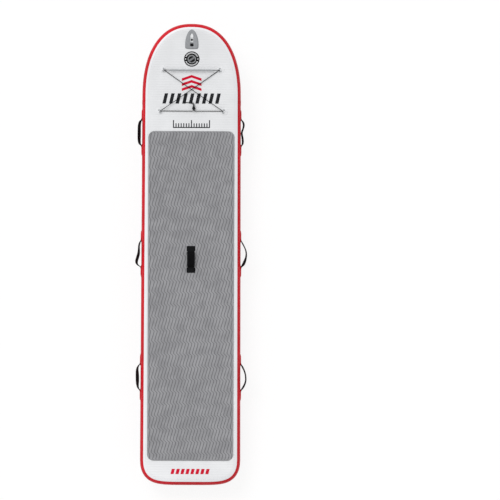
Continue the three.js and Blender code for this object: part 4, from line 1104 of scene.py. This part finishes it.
def ring_wire(name, size, matrix):
    """A D-ring from its span, depth and wire: its bar along X through the origin, its bow towards +Y."""
    span, depth, wire = size
    half = span / 2
    corner = half / 3
    in_by, up_by = corner * RING_HEEL[0], corner * RING_HEEL[1]
    spots = [(-half + in_by, up_by), (-half + corner / 2, 0), (0, 0)]
    spots += [(half - corner / 2, 0), (half - in_by, up_by)]
    for turn in spread(0, math.pi, RING_STEPS):
        spots.append((half * math.cos(turn), corner + (depth - corner) * math.sin(turn)))
    path = [matrix @ Vector((x, y, 0)) for x, y in spots]
    up = (matrix.to_3x3() @ Vector((0, 0, 1))).normalized()
    section = circle(wire / 2, WIRE_SIDES)
    return swept_piece(name, path, section, caps=False, lifts=[up] * len(path), closed=True)


def make_bungee():
    cord = swept_piece("bungee_cord_braided", soften(CORD_POINTS), circle(CORD_DIAMETER / 2, CORD_SIDES))
    dress(cord, BUNGEE_BRAID, "bungee_cord")
    port = RING_FRAMES["front_port"] @ (Vector(TURN_OVER_UNDER[0]) * MM)
    starboard = RING_FRAMES["front_starboard"] @ (Vector(mirrored(TURN_UNDER_OVER)[-1]) * MM)
    share = TUBE_END / (starboard - port).length
    run = spread(lerp(port, starboard, share), lerp(port, starboard, 1 - share), TUBE_STEPS)
    section = circle(TUBE_RADIUS, TUBE_SIDES)
    tube = swept_piece("bungee_tube", run, section, caps=False, wall=TUBE_WALL)
    dress(tube, PALE_PLASTIC, "bungee_sleeve")
    lie = Matrix.Translation((0, 0, RING_BAR_HEIGHT)) @ Matrix.Rotation(RING_TILT, 4, "X")
    for name, where in RING_FRAMES.items():
        ring = ring_wire(f"ring_wire_{name}", RING_SIZE, where @ lie)
        dress(ring, STEEL, f"bungee_ring_{name}", f"ring_{name}")
        mould(f"bungee_patch_{name}", SADDLE_EDGE, WHITE_FABRIC)
    mould("cord_lock_body", LOCK_EDGE, BLACK_PLASTIC)
    mould("cord_lock_button", LOCK_BUTTON_EDGE, BLACK_PLASTIC, "lock_button")
    add_spring("cord_lock_spring")


# The valve, with the light dashes and dots round its patch
VALVE_FRAME = fitting_frame(0, NOSE_Y - 267 * MM)
VALVE_PATCH_RADIUS = 59 * MM
VALVE_PATCH_TOP = SEAT + 1 * MM
VALVE_PATCH_EDGE = 0.4 * MM
VALVE_NECK_HOLE = 24.6 * MM
DIAL_RADIUS = 47 * MM
DIAL_DASH = (4.6 * MM, 9 * MM)
DIAL_DASH_CORNER = 0.8 * MM
DIAL_DASHES = 15
DIAL_SPREAD = math.radians(64)
DIAL_DOT = 4.2 * MM
DIAL_DOT_CORNER = 4.116 * MM
PRINT_THICKNESS = 0.25 * MM
PRINT_EDGE = 0.08 * MM
CAP_TOP = 10.3 * MM
CAP_EDGE = 0.5 * MM
CAP_BAR_TURN = math.radians(35)
CAP_BAND = 15 * MM
CAP_SHADE_RADIUS = 23.5 * MM
BEZEL_INNER = 28.2 * MM
BEZEL_OUTER = 30.6 * MM
BEZEL_LOW = 6.6 * MM
BEZEL_HIGH = 7.1 * MM
VALVE_SIDES = 96


def make_cap_face():
    """Two black sheets on the cap's face, one on each side of its bar, painted as the shade of the recesses
    there, and the pale ring round its edge.
    """
    mesh = bmesh.new()
    for side in (-1, 1):
        made = bmesh.ops.create_circle(mesh, cap_ends=True, radius=CAP_SHADE_RADIUS, segments=ROUND_SIDES)
        verts = made["verts"]
        edges = {edge for vert in verts for edge in vert.link_edges}
        faces = {face for vert in verts for face in vert.link_faces}
        bmesh.ops.bisect_plane(
            mesh,
            geom=[*verts, *edges, *faces],
            plane_co=(0, side * CAP_BAND / 2, 0),
            plane_no=(0, side, 0),
            clear_inner=True,
        )
    lie = VALVE_FRAME @ Matrix.Translation((0, 0, CAP_TOP)) @ Matrix.Rotation(CAP_BAR_TURN, 4, "Z")
    bmesh.ops.transform(mesh, matrix=lie, verts=mesh.verts)
    rims = bmesh.ops.extrude_face_region(mesh, geom=list(mesh.faces))
    raised = [part for part in rims["geom"] if isinstance(part, bmesh.types.BMVert)]
    up = (VALVE_FRAME.to_3x3() @ Vector((0, 0, 1))) * PRINT_THICKNESS
    bmesh.ops.translate(mesh, vec=up, verts=raised)
    # The black sheets are painted shade for the recesses beside the cap's bar
    dress(closed_piece(mesh, "cap_painted_recess_shade"), BLACK_RUBBER, body="cap")
    radii = (BEZEL_INNER, BEZEL_OUTER, BEZEL_OUTER, BEZEL_INNER)
    profile = list(zip(radii, (BEZEL_LOW, BEZEL_LOW, BEZEL_HIGH, BEZEL_HIGH)))
    dress(turned_piece("valve_bezel", profile, VALVE_FRAME, VALVE_SIDES), STRIP_PLASTIC)


def make_valve():
    patch_profile = [
        (VALVE_NECK_HOLE, SEAT),
        (VALVE_PATCH_RADIUS, SEAT),
        (VALVE_PATCH_RADIUS, VALVE_PATCH_TOP - VALVE_PATCH_EDGE),
        (VALVE_PATCH_RADIUS - VALVE_PATCH_EDGE, VALVE_PATCH_TOP),
        (VALVE_NECK_HOLE, VALVE_PATCH_TOP),
    ]
    patch = turned_piece("valve_patch_disc", patch_profile, VALVE_FRAME, VALVE_SIDES)
    dress(patch, BLACK_RUBBER, "valve_patch")
    mesh = bmesh.new()
    top = VALVE_FRAME @ Matrix.Translation((0, 0, VALVE_PATCH_TOP))
    for middle in (0, math.pi):
        for turn in spread(middle - DIAL_SPREAD, middle + DIAL_SPREAD, DIAL_DASHES - 1):
            lie = top @ Matrix.Rotation(turn, 4, "Z") @ Matrix.Translation((0, DIAL_RADIUS, 0))
            slab(mesh, (*DIAL_DASH, PRINT_THICKNESS), DIAL_DASH_CORNER, PRINT_EDGE, lie)
    for side in (-1, 1):
        lie = top @ Matrix.Translation((side * DIAL_RADIUS, 0, 0))
        size = (2 * DIAL_DOT, 2 * DIAL_DOT, PRINT_THICKNESS)
        slab(mesh, size, DIAL_DOT_CORNER, PRINT_EDGE, lie)
    dress(finish(mesh, "valve_dial_print"), WHITE_INK)
    mould("valve_housing", 0, BLACK_PLASTIC)
    mould("valve_cap", CAP_EDGE, DARK_PLASTIC, "cap")
    make_cap_face()
    add_spring("valve_spring")
    coat("valve_inner_nut", BLACK_PLASTIC)
    coat("valve_plunger", GREY_PLASTIC)
    coat("valve_seal", BLACK_RUBBER)
    coat("valve_cap_gasket", BLACK_RUBBER)
    coat("drop_stitch_core", CORE_WEAVE)


# The accessory mount, with the light strip in its channel, and black pieces painted as the shade in its
# pocket, its hole and along its channel's walls
MOUNT_LENGTH = 152 * MM
MOUNT_FRAME = fitting_frame(0, NOSE_Y - 41 * MM - MOUNT_LENGTH / 2)
MOUNT_HEIGHT = 9 * MM
MOUNT_EDGE = 0.5 * MM
CHANNEL_WIDTH = 26 * MM
CHANNEL_FLOOR = 6 * MM
CHANNEL_STARTS = (26 * MM, 60 * MM, 99 * MM)
CHANNEL_NOSE = 22 * MM
CHANNEL_FULLNESS = 1.6
CHANNEL_STEPS = 10
POCKET = (106 * MM, 130 * MM, 6.5 * MM)
POCKET_CORNER = 4.6 * MM
POCKET_EDGE = 0.25 * MM
MOUNT_HOLE = (79 * MM, 6 * MM)
MOUNT_RIM = 2 * MM
INSERT_GAP = 0.4 * MM
INSERT_THICKNESS = 1.2 * MM
STRIP_MARGIN = 1.8 * MM
CHANNEL_SHADE_THICKNESS = 0.5 * MM
BUSH_SEAT = 0.05 * MM
BUSH_LIP = 0.6 * MM
BUSH_FLANGE = 8.2 * MM
BUSH_WELL = 2.2 * MM
BUSH_WALL = 0.8 * MM
BUSH_SIDES = 32


def channel_half_width(place):
    """Half the channel's width at a distance behind the mount's tip: it comes to a rounded point."""
    past = max(0, CHANNEL_STARTS[0] + CHANNEL_NOSE - place) / CHANNEL_NOSE
    return CHANNEL_WIDTH / 2 * (1 - past**CHANNEL_FULLNESS) ** (1 / CHANNEL_FULLNESS)


def on_mount(behind, up=0.0, across=0.0):
    """A place on the mount, at a distance behind its tip."""
    return Vector((across, MOUNT_LENGTH / 2 - behind, up))


def channel_strip(name, start, end, margin, thickness):
    """A flat strip that lies in the channel from one distance behind the mount's tip to another."""

    def place(column, row):
        behind = lerp(start, end, row / CHANNEL_STEPS)
        across = (column - 1) * max(0, channel_half_width(behind - margin) - margin)
        return MOUNT_FRAME @ on_mount(behind, CHANNEL_FLOOR + thickness, across)

    return grid_piece(name, 3, CHANNEL_STEPS + 1, place, looks_out=faces_up, wall=thickness)


def make_mount():
    mould("camera_mount", MOUNT_EDGE, GREY_PLASTIC)
    nose, waist, heel = CHANNEL_STARTS
    hole_place, hole_radius = MOUNT_HOLE
    hole = MOUNT_FRAME @ Matrix.Translation(on_mount(hole_place))
    # A dark sheet under the channel strips shows round their edges: painted shade along the channel's walls
    gapped = (nose + INSERT_GAP, heel - INSERT_GAP, INSERT_GAP, CHANNEL_SHADE_THICKNESS)
    channel_shade = channel_strip("mount_channel_painted_shade", *gapped)
    bore(channel_shade, hole_radius, hole)
    dress(channel_shade, DARK_PLASTIC)
    form = (STRIP_MARGIN, INSERT_THICKNESS)
    dress(channel_strip("mount_channel_nose", nose + 2 * STRIP_MARGIN, waist, *form), LIGHT_PLASTIC)
    strip = channel_strip("mount_channel_strip", waist, heel - STRIP_MARGIN, *form)
    bore(strip, hole_radius, hole)
    dress(strip, STRIP_PLASTIC)
    wall = hole_radius - INSERT_GAP
    floor = MOUNT_RIM + INSERT_GAP
    rim = CHANNEL_FLOOR + INSERT_THICKNESS + BUSH_SEAT
    # The bush is black rubber, and its wide flange and well also paint the shade of the hole
    bush_profile = [
        (0, floor),
        (wall, floor),
        (wall, rim),
        (BUSH_FLANGE, rim),
        (BUSH_FLANGE, rim + BUSH_LIP),
        (wall - BUSH_WALL, rim + BUSH_LIP),
        (wall - BUSH_WALL, rim - BUSH_WELL),
        (0, rim - BUSH_WELL),
    ]
    dress(turned_piece("mount_hole_bush_painted_shade", bush_profile, hole, BUSH_SIDES), BLACK_RUBBER)
    # A black slab in the pocket is painted shade for its depth
    start, end, depth = POCKET
    size = (CHANNEL_WIDTH - 2 * INSERT_GAP, end - start - 2 * INSERT_GAP, INSERT_THICKNESS)
    lie = MOUNT_FRAME @ Matrix.Translation(on_mount((start + end) / 2, MOUNT_HEIGHT - depth))
    dress(slab_piece("mount_pocket_painted_shade", size, POCKET_CORNER, POCKET_EDGE, lie), BLACK_RUBBER)


# The fins and the tow ring, under the hull
FIN_X = 274 * MM
FIN_Y = TAIL_Y + 378 * MM
FIN_BOSS_LOW = -11.3 * MM
FIN_BASE_EDGE = 0.8 * MM
FIN_ROOT_LENGTH = 170 * MM
FIN_ROOT_THICKNESS = 8 * MM
FIN_POCKET = 7.1 * MM
FIN_DOWN_SHARES = (0, 0.3, 0.6, 0.85, 1)
FIN_LEAD_SHARES = (1, 0.54, 0.02, -0.54, -1)
FIN_TRAIL_SHARES = (-1, -0.9, -0.98, -1.2, -1.38)
FIN_THICKNESS_SHARES = (1, 0.88, 0.75, 0.62, 0.45)
FIN_LEVELS = 28
FOIL_STEPS = 18
TOW_FRAME = fitting_frame(0, NOSE_Y - 176 * MM, side=-1)
TOW_BAR_HEIGHT = 5.6 * MM
TOW_RING_SIZE = (34 * MM, 32 * MM, 5 * MM)
TOW_TILT = math.radians(4)


def grade(table, i):
    """The slope of one of the fin's tables at its place i."""
    a, b = max(0, i - 1), min(len(table) - 1, i + 1)
    return (table[b] - table[a]) / (FIN_DOWN_SHARES[b] - FIN_DOWN_SHARES[a])


def fin_value(table, share):
    """A value at a share of the blade's depth, on a smooth curve through a table."""
    k = next(i for i, below in enumerate(FIN_DOWN_SHARES[1:]) if share <= below)
    width = FIN_DOWN_SHARES[k + 1] - FIN_DOWN_SHARES[k]
    t = (share - FIN_DOWN_SHARES[k]) / width
    value = (2 * t**3 - 3 * t**2 + 1) * table[k] + (3 * t**2 - 2 * t**3) * table[k + 1]
    bend = (t**3 - 2 * t**2 + t) * grade(table, k) + (t**3 - t**2) * grade(table, k + 1)
    return value + width * bend


def make_fins():
    hull = MIDDLE - THICKNESS / 2
    levels = spread(0, 1, FIN_LEVELS)
    shares = [0, *levels]
    heights = [FIN_BOSS_LOW + FIN_POCKET] + [lerp(FIN_BOSS_LOW, -FIN_DEPTH, level) for level in levels]
    half = FIN_ROOT_LENGTH / 2
    for name, side in SIDES:

        def place(column, row):
            lead = fin_value(FIN_LEAD_SHARES, shares[row])
            trail = fin_value(FIN_TRAIL_SHARES, shares[row])
            thickness = FIN_ROOT_THICKNESS * fin_value(FIN_THICKNESS_SHARES, shares[row])
            turn = math.pi * column / FOIL_STEPS
            y = half * ((lead + trail) / 2 + (lead - trail) / 2 * math.cos(turn))
            x = side * FIN_X + thickness / 2 * math.sin(turn)
            return Vector((x, FIN_Y + y, hull + heights[row]))

        blade = grid_piece(f"fin_foil_{name}", 2 * FOIL_STEPS + 1, len(shares), place, caps=True)
        dress(blade, BLACK_RUBBER, f"fin_blade_{name}")
        mould(f"fin_base_{name}", FIN_BASE_EDGE, BLACK_RUBBER)


def make_tow_ring():
    lie = Matrix.Translation((0, 0, TOW_BAR_HEIGHT)) @ Matrix.Rotation(-TOW_TILT, 4, "X")
    ring = ring_wire("tow_ring_wire", TOW_RING_SIZE, TOW_FRAME @ lie @ Matrix.Rotation(math.pi, 4, "Z"))
    dress(ring, STEEL, "tow_ring", "tow_ring")
    mould("tow_patch", SADDLE_EDGE, WHITE_TAPE)


# Printed marks: plain bars and chevrons, whose rows are rows of pixels in the photograph

# Slanted bars: the row, how many, how far out the last one stands, their size and slant, and the ink
BAR_ROWS = {
    "deck_bars": (98.5, 9, 200 * MM, (26 * MM, 78 * MM), 18 * MM, BLACK_INK),
    "tail_bars": (471.5, 8, 132 * MM, (24 * MM, 40 * MM), 10 * MM, RED_INK),
}

# Chevrons: the first row and the last, how many, their size and the height of their bars
DECK_CHEVRONS = ((78, 88, 3, (150 * MM, 46 * MM), 20 * MM),)
HULL_CHEVRONS = (
    (74, 100, 3, (380 * MM, 118 * MM), 46 * MM),
    (147, 367, 6, (270 * MM, 250 * MM), 105 * MM),
)
CHEVRON_STEPS = 8
BAR_STEPS = 6

# The graduated scale: the row of its marks and of its base line, how many marks, and every how many is tall
SCALE_ROWS = (127.2, 127.5)
SCALE_MARKS = 15
SCALE_TALL_EVERY = 7
SCALE_REACH = 137 * MM
SCALE_LENGTHS = (30 * MM, 54 * MM)
SCALE_LINE = 8 * MM
SCALE_BASE = 282 * MM

# The blocks on the rails: the rows of the first one and the last
RAIL_BLOCK_ROWS = {"port": (173, 215), "starboard": (175, 217)}
RAIL_BLOCKS = 9
RAIL_BLOCK_SIZE = (52 * MM, 22 * MM)


def pixel_y(y):
    return (BOARD_PIXEL_Y - y) * PIXEL


def deck_face(x, y):
    return Vector((x, y, deck_height(y) + PRINT_THICKNESS))


def hull_face(x, y):
    return Vector((x, y, deck_height(y) - THICKNESS - PRINT_THICKNESS))


def add_bar(mesh, centre, size, slant=0, steps=2, face=deck_face):
    """Adds a flat bar: slant is how far its far edge is carried across."""
    width, length = size

    def place(column, row):
        share = row / steps - 0.5
        return face(centre[0] + width * (column / 2 - 0.5) + slant * share, centre[1] + length * share)

    bend_grid(mesh, 3, steps + 1, place)


def add_chevrons(name, groups, face, looks_out):
    """Columns of arrow-like chevrons, each of two slanted bars that point along the board."""
    mesh = bmesh.new()
    for first, last, count, (width, length), bar in groups:
        for y in spread(pixel_y(first), pixel_y(last), count - 1):
            for side in (-1, 1):

                def place(column, row):
                    share = row / CHEVRON_STEPS
                    rise = (length - bar) * (0.5 - share) + bar * (column / 2 - 0.5)
                    return face(side * width / 2 * share, y + rise)

                bend_grid(mesh, 3, CHEVRON_STEPS + 1, place)
    print_piece(mesh, name, RED_INK, looks_out)


def print_piece(mesh, name, material, looks_out=faces_up, share=0.9):
    """The wall takes only a share of the print's thickness, which keeps it clear of the skin."""
    dress(closed_piece(mesh, name, looks_out=looks_out, wall=PRINT_THICKNESS * share), material)


def make_prints():
    add_chevrons("deck_chevrons", DECK_CHEVRONS, deck_face, faces_up)
    add_chevrons("hull_chevrons", HULL_CHEVRONS, hull_face, faces_down)
    for name, (row, count, reach, size, slant, ink) in BAR_ROWS.items():
        mesh = bmesh.new()
        for x in spread(-reach, reach, count - 1):
            add_bar(mesh, (x, pixel_y(row)), size, slant, BAR_STEPS)
        print_piece(mesh, name, ink)
    mesh = bmesh.new()
    for k, x in enumerate(spread(-SCALE_REACH, SCALE_REACH, SCALE_MARKS - 1)):
        length = SCALE_LENGTHS[k % SCALE_TALL_EVERY == 0]
        add_bar(mesh, (x, pixel_y(SCALE_ROWS[0]) + length / 2), (SCALE_LINE, length))
    add_bar(mesh, (0, pixel_y(SCALE_ROWS[1])), (SCALE_BASE, SCALE_LINE))
    print_piece(mesh, "deck_scale", GREY_INK)
    for name, side in SIDES:

        def rail_face(across, along):
            return on_rail(side, along, across, SEAT)

        mesh = bmesh.new()
        first, last = RAIL_BLOCK_ROWS[name]
        for y in spread(pixel_y(first), pixel_y(last), RAIL_BLOCKS - 1):
            add_bar(mesh, (0, y), RAIL_BLOCK_SIZE, steps=BAR_STEPS, face=rail_face)
        print_piece(mesh, f"rail_bars_{name}", WHITE_INK, None, 0.8)


make_hull()
make_seam_covers()
make_pad()
make_carry_handle()
make_rail_handles()
make_bungee()
make_valve()
make_mount()
make_fins()
make_tow_ring()
make_prints()


# Floor, world and lamp
SUN_FROM = Vector((-0.34, 0.52, 0.78))
SUN_STRENGTH = 1.3
SUN_ANGLE = math.radians(34)
SKY_STRENGTH = 0.68
FLOOR_WIDTH = 40.0
FLOOR_SHARE = 0.8
FLOOR_WHITE = 1.07


def seen_rays(tree):
    """1 for rays from the camera, straight or by way of metal or glass, and 0 for the rest."""
    rays = add_node(tree, "LightPath").outputs
    seen = calc(tree, "MAXIMUM", rays["Is Camera Ray"], rays["Is Glossy Ray"])
    return calc(tree, "MAXIMUM", seen, rays["Is Transmission Ray"])


def add_output(tree, kind, share, unseen, seen):
    mix = add_node(tree, "MixShader", {0: share, 1: unseen.outputs[0], 2: seen.outputs[0]})
    add_node(tree, kind, {"Surface": mix.outputs[0]})


def add_floor():
    mesh = bmesh.new()
    bmesh.ops.create_grid(mesh, x_segments=1, y_segments=1, size=FLOOR_WIDTH / 2)
    floor = finish(mesh, "floor")
    material = bpy.data.materials.new("floor_paper")
    material.use_nodes = True
    tree = material.node_tree
    tree.nodes.clear()
    paper = add_node(tree, "BsdfDiffuse", {"Color": linear("#E4E4E4")})
    white = add_node(tree, "Emission", {"Color": linear("#FFFFFF"), "Strength": FLOOR_WHITE})
    share = calc(tree, "MULTIPLY", seen_rays(tree), FLOOR_SHARE)
    add_output(tree, "OutputMaterial", share, paper, white)
    floor.data.materials.append(material)


def add_world():
    world = bpy.data.worlds.new("studio")
    bpy.context.scene.world = world
    world.use_nodes = True
    tree = world.node_tree
    tree.nodes.clear()
    soft, white = (
        add_node(tree, "Background", {"Color": linear("#FFFFFF"), "Strength": strength})
        for strength in (SKY_STRENGTH, 1)
    )
    add_output(tree, "OutputWorld", seen_rays(tree), soft, white)


def add_sun():
    lamp = bpy.data.lights.new("window", "SUN")
    lamp.energy = SUN_STRENGTH
    lamp.angle = SUN_ANGLE
    sun = bpy.data.objects.new("window", lamp)
    sun.rotation_euler = SUN_FROM.to_track_quat("Z", "Y").to_euler()
    bpy.context.scene.collection.objects.link(sun)


add_floor()
add_world()
add_sun()
bpy.context.scene.view_settings.view_transform = "Standard"
